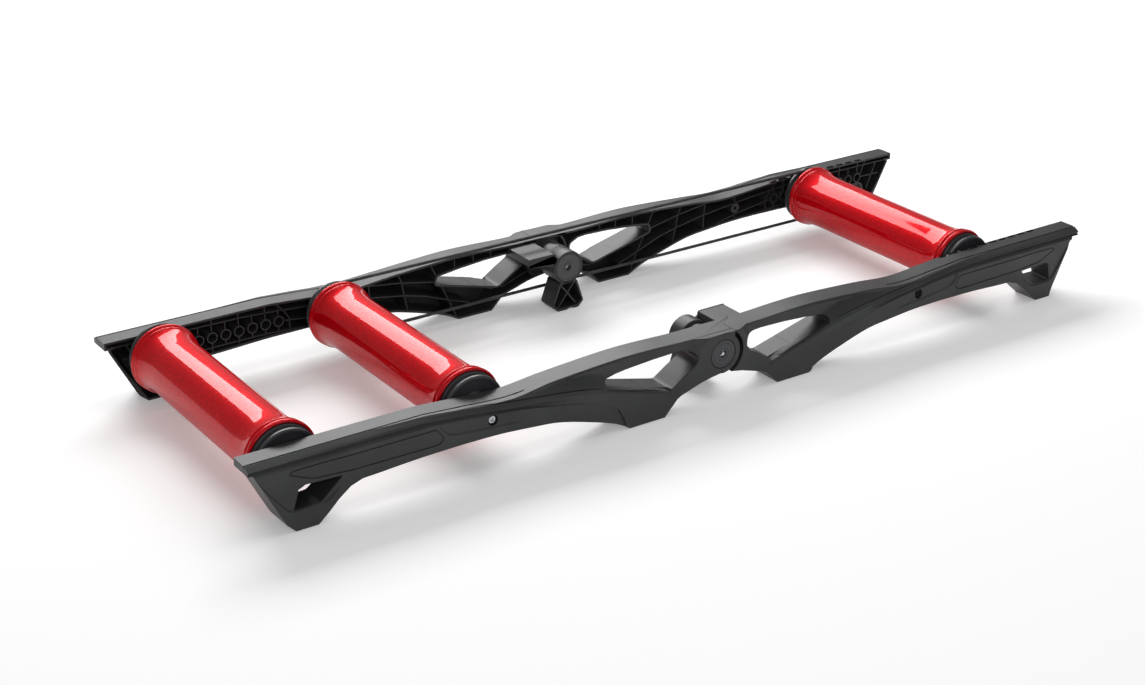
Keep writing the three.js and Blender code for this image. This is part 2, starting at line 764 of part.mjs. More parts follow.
function hubDiscSolid(hubFace) {
  return toSolid(turned([
    [hubDiscHole, hubFace - hubDiscThickness + clearance],
    [hubDiscRadius, hubFace - hubDiscThickness + clearance],
    [hubDiscRadius, hubFace],
    [hubDiscHole, hubFace],
  ], earFacets, 0, hingeHeight));
}

function coverSolid(side) {
  return slab(inset(placed(coverShares, side), clearance), skinFace + coverRecess - coverThickness - clearance,
    skinFace + coverRecess - clearance);
}

const rollers = new THREE.Group();

function addMesh(parent, name, geometry, finish) {
  const mesh = new THREE.Mesh(geometry, finish);
  mesh.name = name;
  parent.add(mesh);
}

function addSolid(parent, name, solid, finish) {
  addMesh(parent, name, toGeometry(solid), finish);
}

// The two sides are alike: the far side is the near side turned half a turn about the vertical
const nearSide = new THREE.Group();
const farSide = new THREE.Group();
farSide.rotation.z = Math.PI;
rollers.add(nearSide, farSide);

const rear = -1;
const front = 1;
const rearBolts = [middleDrumPlace, rearDrumPlace];
const frontBolts = [middleDrumPlace, frontDrumPlace];
addSolid(nearSide, 'near_rear_rail', railSolid(rear, 'outer', rearBolts, false), finishes.rail);
addSolid(nearSide, 'near_front_rail', railSolid(front, 'inner', frontBolts, true, nearHubLength), finishes.rail);
addSolid(farSide, 'far_front_rail', railSolid(rear, 'outer', frontBolts, true), finishes.rail);
addSolid(farSide, 'far_rear_rail', railSolid(front, 'inner', rearBolts, false, farHubLength), finishes.rail);
addSolid(nearSide, 'near_rear_axle_cover', coverSolid(rear), finishes.cover);
addSolid(nearSide, 'near_front_axle_cover', coverSolid(front), finishes.cover);
addSolid(farSide, 'far_front_axle_cover', coverSolid(rear), finishes.cover);
addSolid(farSide, 'far_rear_axle_cover', coverSolid(front), finishes.cover);
for (const [side, group, hubLength] of [['near', nearSide, nearHubLength], ['far', farSide, farHubLength]]) {
  addSolid(group, `${side}_hinge_pin`, pinSolid(openFace + hubLength), finishes.steel);
  addSolid(group, `${side}_pivot_cap`, pivotCapSolid(), finishes.cap);
  addSolid(group, `${side}_hub_disc`, hubDiscSolid(openFace + hubLength), finishes.cap);
}

// Three drums with what turns and what carries them; the flats of the bearing's bore clear the axle's corners
const bearingBore = axleRadius / Math.cos(Math.PI / smallFacets) + boreClearance;
const drums = [['rear', -rearDrumPlace], ['middle', -middleDrumPlace], ['front', frontDrumPlace]];
for (const [name, x] of drums) {
  addMesh(rollers, `${name}_drum`, drumGeometry(x), finishes.drum);
  addSolid(rollers, `${name}_axle`, axleSolid(x), finishes.steel);
  for (const [side, end] of [['near', -1], ['far', 1]]) {
    addMesh(rollers, `${name}_${side}_end_cap`, capGeometry(x, end), finishes.cap);
    addMesh(rollers, `${name}_${side}_bearing`, ringGeometry(bearingRadius, bearingBore,
      capFace - bearingWidth, capFace, x, end), finishes.steel);
    addMesh(rollers, `${name}_${side}_spacer`, ringGeometry(spacerRadius, axleRadius + clearance,
      capFace + clearance, -openFace - clearance, x, end), finishes.steel);
    addSolid(rollers, `${name}_${side}_axle_bolt`, boltSolid(x, end), finishes.steel);
  }
}
addMesh(rollers, 'drive_belt', beltGeometry(), finishes.belt);

export default rollers;
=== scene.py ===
import math

import bmesh
import bpy
import numpy as np
from mathutils import Matrix, Vector
from mathutils.geometry import delaunay_2d_cdt


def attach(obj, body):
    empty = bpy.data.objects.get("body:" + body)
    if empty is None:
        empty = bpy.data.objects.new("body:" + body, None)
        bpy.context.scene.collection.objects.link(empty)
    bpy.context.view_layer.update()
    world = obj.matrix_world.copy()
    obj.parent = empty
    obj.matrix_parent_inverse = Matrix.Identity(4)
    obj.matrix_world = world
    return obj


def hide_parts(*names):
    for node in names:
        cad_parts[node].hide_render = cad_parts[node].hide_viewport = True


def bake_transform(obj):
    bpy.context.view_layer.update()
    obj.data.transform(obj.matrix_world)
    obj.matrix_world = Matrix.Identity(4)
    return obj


bl_info = {
    "name": "Bike rollers",
    "version": (1, 0, 0),
    "blender": (4, 5, 0),
    "location": "3D View > Sidebar > Rollers",
    "description": "Builds a set of folding bike rollers, piece by piece, over its packed CAD frame",
    "category": "Object",
}

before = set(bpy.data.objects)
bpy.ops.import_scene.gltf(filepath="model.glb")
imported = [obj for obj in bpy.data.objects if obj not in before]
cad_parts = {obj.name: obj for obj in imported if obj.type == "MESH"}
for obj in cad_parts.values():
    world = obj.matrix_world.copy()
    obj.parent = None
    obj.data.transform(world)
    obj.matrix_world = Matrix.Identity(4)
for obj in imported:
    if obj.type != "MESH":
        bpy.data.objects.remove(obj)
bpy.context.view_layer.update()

MM = 0.001

# ---- Sizes of the rollers in millimetres, as in the CAD ----
HALF_LENGTH = 685.0
END_HEIGHT = 95.0
AXLE_HEIGHT = 66.0
HINGE_HEIGHT = 65.5
OPEN_FACE = 185.0
SKIN = 3.0
WALL = 3.0

# Depths outwards from the rail's open face
BEAM_DEPTH = 32.0
SKIN_DEPTH = 41.0
BAND_DEPTH = 44.2
STRIP_DEPTH = 27.0
LIP_DEPTH = 35.4
BOLT_FLOOR = 31.0
SOCKET_FLOOR = 22.0
EAR_SPLIT = 16.0
EAR_GAP = 0.6
BAND_HEIGHT = 10.5

# The end wall's slant, from its foot to the band, and how far it is moved out at the open and at the outer face
END_WALL_FOOT = 630.2
END_WALL_TOP = 673.4
END_WALL_HEIGHT = 84.5
END_WALL_REACH = 26.0
END_LEAN = {"outer": (7.0, 6.0), "inner": (8.0, -3.0)}

REAR_DRUM = 613.8
MIDDLE_DRUM = 357.0
AXLE_SOCKETS = [437.4 + i * 19.6 for i in range(10)]
FRONT_DRUM = AXLE_SOCKETS[3]
SOCKET_BORE = 6.3
SOCKET_BOSS = 7.8
RIB_CLEARANCE = 7.5
GROOVE_START = 303.0
GROOVE_INNER = 24.2
GROOVE_OUTER = 26.4
MARK_HALF = 7.0
MARK_WIDTH = 5.4
MARK_DEPTH = 2.4

DRUM_RADIUS = 40.5
DRUM_HALF_WIDTH = 165.0
BELT_PITCH_RADIUS = 40.3
BELT_RADIUS = 2.3
BELT_OFFSET = 172.0
BOLT_SEAT = 216.0
BOLT_RECESS = 7.2
BOLT_BORE = 3.1
COVER_JOINT = 0.9
COVER_THICKNESS = 1.4
COVER_POCKET = 1.5
COVER_LAP = 2.5

NEST_RADIUS = 34.0
OUTER_EAR = 28.0
INNER_EAR = 25.2
PIN_BORE = 8.3
PIN_FACE = 226.0
TONGUE_REACH = 18.5
PRONG_REACH = 40.0
TONGUE_PLATE = 3.6
KNUCKLE_FLAT = 38.0
KNUCKLE_RADIUS = 55.0
PIVOT_CAP_SEAT = 20.5
PIVOT_CAP_DEPTH = 3.0
HUB_RADIUS = 25.0
HUB_NECK_RADIUS = 21.5
HUB_LENGTH = {"near": 45.0, "far": 57.0}

SIDES = (("near", -1), ("far", 1))

# Each rail half: side of the rollers, the way it runs from the hinge, kind of ear, body and end drum
RAILS = (
    ("near_rear_rail", "near", -1, "outer", "rear_frame", REAR_DRUM),
    ("near_front_rail", "near", 1, "inner", "front_frame", FRONT_DRUM),
    ("far_front_rail", "far", -1, "outer", "front_frame", FRONT_DRUM),
    ("far_rear_rail", "far", 1, "inner", "rear_frame", REAR_DRUM),
)
DRUMS = (("rear", -REAR_DRUM, "rear_frame"), ("middle", -MIDDLE_DRUM, "rear_frame"),
         ("front", FRONT_DRUM, "front_frame"))

# Outline points as shares of the rail's half length and end height, hinge to tip
TOP_LINE = [(0, 0.995), (0.09, 1), (0.175, 1.023), (0.25, 1.024), (0.383, 0.972), (0.482, 0.914),
            (0.584, 0.961), (0.657, 1)]
LEDGE_LINE = [(0.118, 0.333), (0.174, 0.475), (0.27, 0.66), (0.339, 0.763), (0.429, 0.836),
              (0.505, 0.893), (0.584, 0.955), (0.657, 1)]
PANEL_LINE = [(0.227, 0), (0.24, 0.22), (0.256, 0.37), (0.315, 0.545), (0.429, 0.717), (0.505, 0.79),
              (0.584, 0.85), (0.657, 0.889)]
UNDERSIDE = [(0.222, 0), (0.258, 0.127), (0.315, 0.261), (0.382, 0.388), (0.445, 0.437),
             (0.504, 0.472), (0.568, 0.484), (0.628, 0.482), (0.683, 0.474), (0.759, 0.447)]
END_LEG = [(0.788, 0.44), (0.812, 0.385), (0.835, 0.265), (0.857, 0.12), (0.877, 0), (0.92, 0),
           (0.983, 0.889)]
MIDDLE_FOOT = [(0.14, 0)]
NECK_UNDERSIDE = [(0.11, 0.21), (0.09, 0.253), (0.05, 0.341), (0.026, 0.374), (0, 0.4)]
NECK_TOP = [(0, 0.7), (0.06, 0.7), (0.067, 0.632), (0.096, 0.508), (0.123, 0.38), (0.13, 0.3)]
WINDOW = [(0.273, 0.775), (0.277, 0.663), (0.123, 0.38), (0.096, 0.508), (0.067, 0.632), (0.06, 0.72),
          (0.063, 0.79), (0.083, 0.86), (0.105, 0.869), (0.16, 0.858), (0.219, 0.823)]
FOOT_WINDOW = [(0.918, 0.27), (0.869, 0.285), (0.826, 0.56), (0.9, 0.575), (0.909, 0.555)]
COVER = [(0.927, 0.76), (0.92, 0.81), (0.638, 0.81), (0.623, 0.66), (0.634, 0.58), (0.81, 0.595),
         (0.88, 0.62)]
LEG_RECESS = [(0.985, 0.86), (0.962, 0.634), (0.944, 0.458), (0.922, 0.25), (0.86, 0.255), (0.82, 0.47),
              (0.8, 0.62), (0.79, 0.86)]
MIDDLE_RECESS = [(0.636, 0.86), (0.62, 0.69), (0.594, 0.642), (0.53, 0.6), (0.47, 0.57), (0.42, 0.52),
                 (0.4, 0.66), (0.47, 0.73), (0.53, 0.78), (0.584, 0.82)]

# Ribs inside the rail, each a chain of points; the upright ones stand at the axle sockets
RIBS = [
    [(0.985, 0.9), (0.827, 0.897), (0.722, 0.89), (0.665, 0.869), (0.588, 0.826), (0.513, 0.77),
     (0.432, 0.7), (0.352, 0.6), (0.304, 0.515), (0.249, 0.362), (0.195, 0.23)],
    [(0.965, 0.692), (0.64, 0.695), (0.612, 0.672), (0.523, 0.58), (0.434, 0.433), (0.38, 0.36)],
    [(0.136, 0.35), (0.204, 0.548), (0.262, 0.674), (0.357, 0.813), (0.434, 0.891), (0.473, 0.923)],
    [(0.83, 0.535), (0.725, 0.545), (0.667, 0.545), (0.616, 0.525), (0.524, 0.49)],
    [(0.29, 1.02), (0.266, 0.657), (0.245, 0.344), (0.224, 0.01)],
    [(0.367, 0.99), (0.357, 0.813), (0.352, 0.6), (0.343, 0.33)],
    [(0.435, 0.93), (0.432, 0.7), (0.431, 0.42)],
    [(0.521, 0.93), (0.521, 0.46)],
    [(0.614, 0.67), (0.614, 0.49)],
    [(0.647, 0.99), (0.627, 0.849), (0.612, 0.672)],
    [(0.141, 1.02), (0.141, 0.87)],
    [(0.184, 1.02), (0.184, 0.85)],
    [(0.23, 1.02), (0.23, 0.83)],
    [(0.92, 0.98), (0.9, 0.6)],
    [(0.955, 0.9), (0.93, 0.45)],
    [(0.115, 0.34), (0.04, 0.52)],
]

# Where the tongue grows out of the outer half's ear
TONGUE_ROOT = [(-TONGUE_REACH, 79.5), (0.5, 79.5), (0.5, 94.5), (-TONGUE_REACH, 94.5)]

# Steps of the band's section, counted down from the ledge, and the other lines on which the face bends
BAND_STEPS = (0.0, 5.0, 5.7, 8.2, 9.0, 11.4)
LEDGE_GAPS = (-17.0, -11.0, -5.0, -1.8, -0.9)
PANEL_GAPS = (-0.6, 0.0, 0.8, 2.2)
TOP_GAPS = (1.6, 2.8, 4.0, 5.2, 8.0, 20.0)
KNUCKLE_RINGS = (KNUCKLE_FLAT, 41.0, 44.0, 46.5, 49.0, 52.0, KNUCKLE_RADIUS)

# Kinds of surface of a rail half, at its front and at its back
FACE, NEST, POCKET, RECESS, CAP_SEAT = range(5)
RIM, FLOOR, EAR, BORE = range(4)


# ---- Lines and outlines ----
def placed(shares):
    """Points in millimetres from shares of the rail's length and height."""
    return [(along * HALF_LENGTH, up * END_HEIGHT) for along, up in shares]


def spline(points, steps=6):
    """A smooth line through the points, as the CAD's."""
    found = []
    last = len(points) - 1
    for i in range(last):
        around = points[max(i - 1, 0)], points[i], points[i + 1], points[min(i + 2, last)]
        for k in range(steps):
            t = k / steps
            found.append(tuple(
                b + (c - a) / 2 * t + (2 * a - 5 * b + 4 * c - d) / 2 * t * t
                + (3 * b - a - 3 * c + d) / 2 * t ** 3 for a, b, c, d in zip(*around)))
    found.append(points[-1])
    return found


def rounded(points, radius, steps=4):
    """A closed outline with its corners rounded."""
    found = []
    for i, corner in enumerate(points):
        here = Vector(corner)
        back = Vector(points[i - 1]) - here
        ahead = Vector(points[(i + 1) % len(points)]) - here
        if back.length < 1e-6 or ahead.length < 1e-6:
            continue
        if math.pi - back.angle(ahead) < 0.2:
            found.append(tuple(here))
            continue
        reach = min(radius, back.length * 0.45, ahead.length * 0.45)
        start = here + back.normalized() * reach
        end = here + ahead.normalized() * reach
        for k in range(steps + 1):
            t = k / steps
            found.append(tuple(start * (1 - t) ** 2 + here * 2 * t * (1 - t) + end * t * t))
    return found


def divided(points, longest, closed=True):
    """The same line with no piece longer than given."""
    found = []
    count = len(points)
    for i in range(count if closed else count - 1):
        a, b = Vector(points[i]), Vector(points[(i + 1) % count])
        pieces = max(math.ceil((b - a).length / longest), 1)
        found += [tuple(a.lerp(b, k / pieces)) for k in range(pieces)]
    return found if closed else found + [points[-1]]


def offset(points, gap, closed=True):
    """A line moved to its left; a closed outline moves inwards for a positive gap."""
    count = len(points)
    area = sum(points[i - 1][0] * points[i][1] - points[i][0] * points[i - 1][1] for i in range(count)) / 2
    sign = math.copysign(1, area) if closed else 1
    found = []
    for i in range(count):
        here = Vector(points[i])
        before = Vector(points[i - 1]) if closed or i else here
        after = Vector(points[(i + 1) % count]) if closed or i + 1 < count else here
        one, two = here - before, after - here
        if one.length < 1e-9:
            one = two
        if two.length < 1e-9:
            two = one
        one.normalize()
        two.normalize()
        normal = Vector((-one.y - two.y, one.x + two.x)) * sign
        reach = gap / max(normal.dot(Vector((-one.y, one.x)) * sign), 0.5)
        found.append(tuple(here + normal * reach))
    return found


def circle(x, z, radius, count):
    """Points round a circle."""
    return [(x + radius * math.cos(2 * math.pi * k / count), z + radius * math.sin(2 * math.pi * k / count))
            for k in range(count)]


def loops(*outlines):
    """Outlines as closed lines of a relief."""
    return [(outline, True) for outline in outlines]


def inside(spots, outline):
    """Which spots lie in a closed outline."""
    a = np.array(outline)
    b = np.roll(a, -1, axis=0)
    x, z = spots[:, 0][:, None], spots[:, 1][:, None]
    crosses = (a[:, 1] > z) != (b[:, 1] > z)
    climb = np.where(np.abs(b[:, 1] - a[:, 1]) < 1e-12, 1e-12, b[:, 1] - a[:, 1])
    return (crosses & (x < (b[:, 0] - a[:, 0]) * (z - a[:, 1]) / climb + a[:, 0])).sum(1) % 2 == 1


def spots_within(grid, outline):
    """The spots of a grid that lie in a closed outline."""
    return [spot for spot, is_in in zip(grid, inside(np.array(grid), outline)) if is_in]


def distance(spots, line, closed=False):
    """How far each spot is from a line."""
    points = np.array(list(line) + ([line[0]] if closed else []))
    a, d = points[:-1], points[1:] - points[:-1]
    length = np.maximum((d * d).sum(1), 1e-12)
    best = np.full(len(spots), 1e9)
    for i in range(len(a)):
        t = np.clip(((spots - a[i]) @ d[i]) / length[i], 0, 1)
        gap = spots - a[i] - t[:, None] * d[i]
        best = np.minimum(best, (gap * gap).sum(1))
    return np.sqrt(best)


def rise(value):
    """A smooth rise from 0 to 1."""
    t = np.clip(value, 0, 1)
    return t * t * (3 - 2 * t)


def from_centre(spots, along, height):
    """How far each spot is from a point of the rail."""
    return np.hypot(spots[:, 0] - along, spots[:, 1] - height)


def from_hinge(spots):
    """How far each spot is from the hinge's axis."""
    return from_centre(spots, 0.0, HINGE_HEIGHT)


def constant(value):
    """A rule that gives every spot the same depth or kind."""
    return lambda spots: np.full(len(spots), float(value))


# ---- A moulding as a relief: an outline cut into triangles, with a front and a back at given depths ----
def relief(lines, keep, front, back, spots=(), chain=None):
    """Closed mesh of a moulding. lines are (points, closed); keep says which triangles are material.
    front and back are (kinds, depths): a kind for each triangle, and a function of depth for each kind.
    chain gives more corners for the outer wall over a point, as (depth, rise) pairs."""
    corners, edges = [], []
    for points, closed in lines:
        first = len(corners)
        corners += [Vector(p) for p in points]
        edges += [(first + i, first + i + 1) for i in range(len(points) - 1)]
        if closed:
            edges.append((first + len(points) - 1, first))
    corners += [Vector(p) for p in spots]
    found = delaunay_2d_cdt(corners, edges, [], 0, 1e-4)
    points = np.array([tuple(v) for v in found[0]])
    faces = np.array([f for f in found[2] if len(f) == 3])
    faces = faces[keep(points[faces].mean(1))]
    centres = points[faces].mean(1)
    kinds, depth = {}, {}
    for side, (kinds_of, depths) in (("front", front), ("back", back)):
        kinds[side] = kinds_of(centres)
        for kind in np.unique(kinds[side]):
            depth[side, int(kind)] = depths[int(kind)](points)
    verts, index, columns = [], {}, {}

    def corner(v, key):
        """The mesh corner over a point, at the depth of a kind."""
        if (v, key) not in index:
            index[v, key] = len(verts)
            verts.append((points[v][0], depth[key][v], points[v][1]))
            columns.setdefault(v, []).append((depth[key][v], index[v, key]))
        return index[v, key]

    polygons, sides = [], {}
    for n, (a, b, c) in enumerate(faces):
        keys = ("front", int(kinds["front"][n])), ("back", int(kinds["back"][n]))
        polygons.append([corner(v, keys[0]) for v in (a, b, c)])
        polygons.append([corner(v, keys[1]) for v in (c, b, a)])
        for start, end in ((a, b), (b, c), (c, a)):
            sides.setdefault((min(start, end), max(start, end)), []).append((start, end, keys))
    extra = {}
    if chain is not None:
        for v in {v for ends, uses in sides.items() if len(uses) == 1 for v in ends}:
            for far, lift in chain(points[v][0], points[v][1]):
                extra.setdefault(v, []).append((far, len(verts)))
                verts.append((points[v][0], far, points[v][1] + lift))

    def column(v, low, high, whole):
        """Corners over a point, from one depth to another."""
        lowest, highest = sorted((verts[low][1], verts[high][1]))
        between = [(far, i) for far, i in columns[v] + (extra.get(v, []) if whole else [])
                   if lowest + 1e-6 < far < highest - 1e-6 and i not in (low, high)]
        between.sort(reverse=verts[low][1] > verts[high][1])
        return [low] + [i for _, i in between] + [high]

    def wall(start, end, key_from, key_to, whole=False):
        """The wall over an edge, between the depths of two kinds."""
        one = column(start, corner(start, key_from), corner(start, key_to), whole)
        two = column(end, corner(end, key_from), corner(end, key_to), whole)
        if whole and len(one) == len(two):
            polygons.extend([one[k], one[k + 1], two[k + 1], two[k]] for k in range(len(one) - 1))
        else:
            polygons.append(one + two[::-1])

    for uses in sides.values():
        start, end, mine = uses[0]
        if len(uses) == 1:
            wall(start, end, mine[0], mine[1], whole=True)
            continue
        other = uses[1][2]
        if mine[0] != other[0]:
            wall(start, end, mine[0], other[0])
        if mine[1] != other[1]:
            wall(end, start, mine[1], other[1])
    return verts, polygons


def stacked(outline, levels):
    """A closed block from one outline at several (inset, level) pairs; its corners are (across, up, level)."""
    count = len(outline)
    corners = [(*point, level) for inset, level in levels for point in offset(outline, inset)]
    rings = [list(range(row * count, (row + 1) * count)) for row in range(len(levels))]
    polygons = [[one[k], one[(k + 1) % count], two[(k + 1) % count], two[k]]
                for one, two in zip(rings, rings[1:]) for k in range(count)]
    return corners, polygons + [rings[0][::-1], rings[-1]]


def prism(outline, low, high, flare):
    """An outline between two depths, with its edge flared at the second one."""
    corners, polygons = stacked(outline, ((0.0, low), (0.0, high + flare), (-flare * 0.3, high + flare * 0.3),
                                          (-flare, high)))
    return [(across, depth, up) for across, up, depth in corners], polygons


def lathe(profile, facets, height=0.0):
    """A closed profile of (radius, place) pairs turned about an axis across the rollers."""
    verts = [(x, place, z) for radius, place in profile for x, z in circle(0.0, height, radius, facets)]
    polygons = []
    for i in range(len(profile)):
        here, there = i * facets, (i + 1) % len(profile) * facets
        polygons += [[here + k, here + (k + 1) % facets, there + (k + 1) % facets, there + k]
                     for k in range(facets)]
    return verts, polygons


# ---- Nodes and geometry trees ----
def node(tree, kind, settings=None, links=None, stops=(), **attributes):
    """Adds a node with its settings and links. A link starts at an output, or at the first one of a node.
    stops are the (position, colour) pairs of a ramp."""
    made = tree.nodes.new(kind)
    for name, value in attributes.items():
        setattr(made, name, value)
    for name, value in (settings or {}).items():
        made.inputs[name].default_value = value
    for name, source in (links or {}).items():
        tree.links.new(source.outputs[0] if isinstance(source, bpy.types.Node) else source, made.inputs[name])
    for i, (position, colour) in enumerate(stops):
        made.color_ramp.elements[i].position = position
        made.color_ramp.elements[i].color = colour
    return made


def tree_with(name, sockets):
    """A geometry tree with named inputs; gives the tree and the outputs of its input node."""
    tree = bpy.data.node_groups.new(name, "GeometryNodeTree")
    tree.interface.new_socket("Geometry", in_out="INPUT", socket_type="NodeSocketGeometry")
    for label, kind, value in sockets:
        socket = tree.interface.new_socket(label, in_out="INPUT", socket_type="NodeSocket" + kind)
        if value is not None:
            socket.default_value = value
    tree.interface.new_socket("Material", in_out="INPUT", socket_type="NodeSocketMaterial")
    tree.interface.new_socket("Geometry", in_out="OUTPUT", socket_type="NodeSocketGeometry")
    return tree, tree.nodes.new("NodeGroupInput").outputs


def end_tree(tree, inputs, geometry):
    """Real faces with their material at the end of a tree."""
    real = node(tree, "GeometryNodeRealizeInstances", links={"Geometry": geometry})
    painted = node(tree, "GeometryNodeSetMaterial", links={"Geometry": real, "Material": inputs["Material"]})
    node(tree, "NodeGroupOutput", links={"Geometry": painted})
    return tree


def turning_tree():
    """Turns a closed section about an axle that runs across the rollers."""
    tree, inputs = tree_with("Turned about an axle", (
        ("Facets", "Int", 96), ("Guide Radius", "Float", 10 * MM), ("Place", "Vector", None)))
    section = node(tree, "GeometryNodeMeshToCurve", links={"Mesh": inputs["Geometry"]})
    inwards = node(tree, "ShaderNodeMath", {1: -1.0}, {0: inputs["Guide Radius"]}, operation="MULTIPLY")
    shift = node(tree, "ShaderNodeCombineXYZ", links={"X": inwards})
    centred = node(tree, "GeometryNodeTransform", links={"Geometry": section, "Translation": shift})
    guide = node(tree, "GeometryNodeCurvePrimitiveCircle",
                 links={"Resolution": inputs["Facets"], "Radius": inputs["Guide Radius"]})
    swept = node(tree, "GeometryNodeCurveToMesh", links={"Curve": guide, "Profile Curve": centred})
    welded = node(tree, "GeometryNodeMergeByDistance", {"Distance": 0.01 * MM}, {"Geometry": swept})
    laid = node(tree, "GeometryNodeTransform", {"Rotation": (math.pi / 2, 0.0, 0.0)},
                {"Geometry": welded, "Translation": inputs["Place"]})
    return end_tree(tree, inputs, laid)


def belt_tree():
    """Round belt round two pulleys of one size: a rounded rectangle swept by a circle."""
    tree, inputs = tree_with("Belt round two pulleys", (
        ("Axle Distance", "Float", 0.8532), ("Pulley Radius", "Float", BELT_PITCH_RADIUS * MM),
        ("Belt Radius", "Float", BELT_RADIUS * MM), ("Steps", "Int", 400), ("Sides", "Int", 14),
        ("Place", "Vector", None)))
    height = node(tree, "ShaderNodeMath", {1: 2.0}, {0: inputs["Pulley Radius"]}, operation="MULTIPLY")
    width = node(tree, "ShaderNodeMath", links={0: height, 1: inputs["Axle Distance"]}, operation="ADD")
    box = node(tree, "GeometryNodeCurvePrimitiveQuadrilateral", links={"Width": width, "Height": height})
    # A hair less than the pulley's radius, so that the two bends at an end don't meet in one point
    bend = node(tree, "ShaderNodeMath", {1: 0.9995}, {0: inputs["Pulley Radius"]}, operation="MULTIPLY")
    route = node(tree, "GeometryNodeFilletCurve", {"Count": 40}, {"Curve": box, "Radius": bend}, mode="POLY")
    even = node(tree, "GeometryNodeResampleCurve", links={"Curve": route, "Count": inputs["Steps"]})
    section = node(tree, "GeometryNodeCurvePrimitiveCircle",
                   links={"Resolution": inputs["Sides"], "Radius": inputs["Belt Radius"]})
    swept = node(tree, "GeometryNodeCurveToMesh", links={"Curve": even, "Profile Curve": section})
    laid = node(tree, "GeometryNodeTransform", {"Rotation": (math.pi / 2, 0.0, 0.0)},
                {"Geometry": swept, "Translation": inputs["Place"]})
    return end_tree(tree, inputs, laid)


def rib_tree():
    """Ribs along lines: each stands from the moulding's floor, whose depth its points carry, to the recess."""
    tree, inputs = tree_with("Ribs along lines", (
        ("Rib Width", "Float", 1.2 * MM), ("Rib Recess", "Float", 1.5 * MM)))
    lines = node(tree, "GeometryNodeMeshToCurve", links={"Mesh": inputs["Geometry"]})
    upright = node(tree, "GeometryNodeSetCurveNormal", links={"Curve": lines}, mode="Z_UP")
    section = node(tree, "GeometryNodeCurvePrimitiveQuadrilateral", {"Height": MM},
                   {"Width": inputs["Rib Width"]})
    swept = node(tree, "GeometryNodeCurveToMesh", {"Fill Caps": True},
                 {"Curve": upright, "Profile Curve": section})
    place = node(tree, "GeometryNodeInputPosition")
    parts = node(tree, "ShaderNodeSeparateXYZ", links={"Vector": place}).outputs
    outer = node(tree, "ShaderNodeMath", {1: 0.0}, {0: parts["Z"]}, operation="GREATER_THAN")
    floor = node(tree, "GeometryNodeInputNamedAttribute", {"Name": "floor"}, data_type="FLOAT")
    level = node(tree, "ShaderNodeMix",
                 links={0: outer, 2: inputs["Rib Recess"], 3: floor.outputs["Attribute"]})
    moved = node(tree, "ShaderNodeCombineXYZ", links={"X": parts["X"], "Y": parts["Y"], "Z": level})
    stood = node(tree, "GeometryNodeSetPosition", links={"Geometry": swept, "Position": moved})
    return end_tree(tree, inputs, stood)


def bolt_tree():
    """Bolts at the ends of a row of axles, on both rails; each points outwards."""
    tree, inputs = tree_with("Bolts at the axle ends", (
        ("Axles", "Int", 2), ("Axle Distance", "Float", 0.2568), ("Seat Width", "Float", 2 * BOLT_SEAT * MM),
        ("Place", "Vector", None)))
    spots = node(tree, "GeometryNodeMeshGrid", {"Vertices Y": 2}, {
        "Size X": inputs["Axle Distance"], "Size Y": inputs["Seat Width"], "Vertices X": inputs["Axles"]})
    place = node(tree, "GeometryNodeInputPosition")
    parts = node(tree, "ShaderNodeSeparateXYZ", links={"Vector": place}).outputs
    near_side = node(tree, "ShaderNodeMath", {1: 0.0}, {0: parts["Y"]}, operation="LESS_THAN")
    half_turn = node(tree, "ShaderNodeMath", {1: math.pi}, {0: near_side}, operation="MULTIPLY")
    turn = node(tree, "ShaderNodeCombineXYZ", links={"Z": half_turn})
    bolts = node(tree, "GeometryNodeInstanceOnPoints",
                 links={"Points": spots, "Instance": inputs["Geometry"], "Rotation": turn})
    laid = node(tree, "GeometryNodeTransform", links={"Geometry": bolts, "Translation": inputs["Place"]})
    return end_tree(tree, inputs, laid)


def grown(tree, source, values):
    """The plain mesh that a tree grows from a source mesh."""
    carrier = bpy.data.objects.new(tree.name, source)
    bpy.context.scene.collection.objects.link(carrier)
    modifier = carrier.modifiers.new(tree.name, "NODES")
    modifier.node_group = tree
    for item in tree.interface.items_tree:
        if item.item_type == "SOCKET" and item.in_out == "INPUT" and item.name in values:
            modifier[item.identifier] = values[item.name]
    graph = bpy.context.evaluated_depsgraph_get()
    mesh = bpy.data.meshes.new_from_object(carrier.evaluated_get(graph))
    carrier.modifiers.remove(modifier)
    bpy.data.objects.remove(carrier)
    return mesh


# ---- Meshes and objects ----
def cleaned(work, weld):
    """Merges doubles, drops slivers and turns the faces outwards."""
    bmesh.ops.remove_doubles(work, verts=work.verts, dist=weld)
    bmesh.ops.dissolve_degenerate(work, edges=work.edges, dist=weld / 10)
    bmesh.ops.recalc_face_normals(work, faces=work.faces)
    return work


def stored(work, name):
    """A mesh from the work mesh, which is freed."""
    mesh = bpy.data.meshes.new(name)
    work.to_mesh(mesh)
    work.free()
    return mesh


def joined(parts, move=None):
    """Joins several (verts, polygons) parts in millimetres, cleans each one and moves every corner."""
    whole = bmesh.new()
    for verts, polygons in parts:
        work = bmesh.new()
        made = [work.verts.new(v) for v in verts]
        for polygon in polygons:
            ring = list(dict.fromkeys(made[i] for i in polygon))
            if len(ring) > 2:
                try:
                    work.faces.new(ring)
                except ValueError:
                    # Two walls of a sliver are one face
                    continue
        cleaned(work, 1e-4)
        if move is not None:
            for v in work.verts:
                v.co = Vector(move(*v.co))
            bmesh.ops.recalc_face_normals(work, faces=work.faces)
        mesh = stored(work, "part")
        whole.from_mesh(mesh)
        bpy.data.meshes.remove(mesh)
    bmesh.ops.scale(whole, vec=(MM, MM, MM), verts=whole.verts)
    return whole


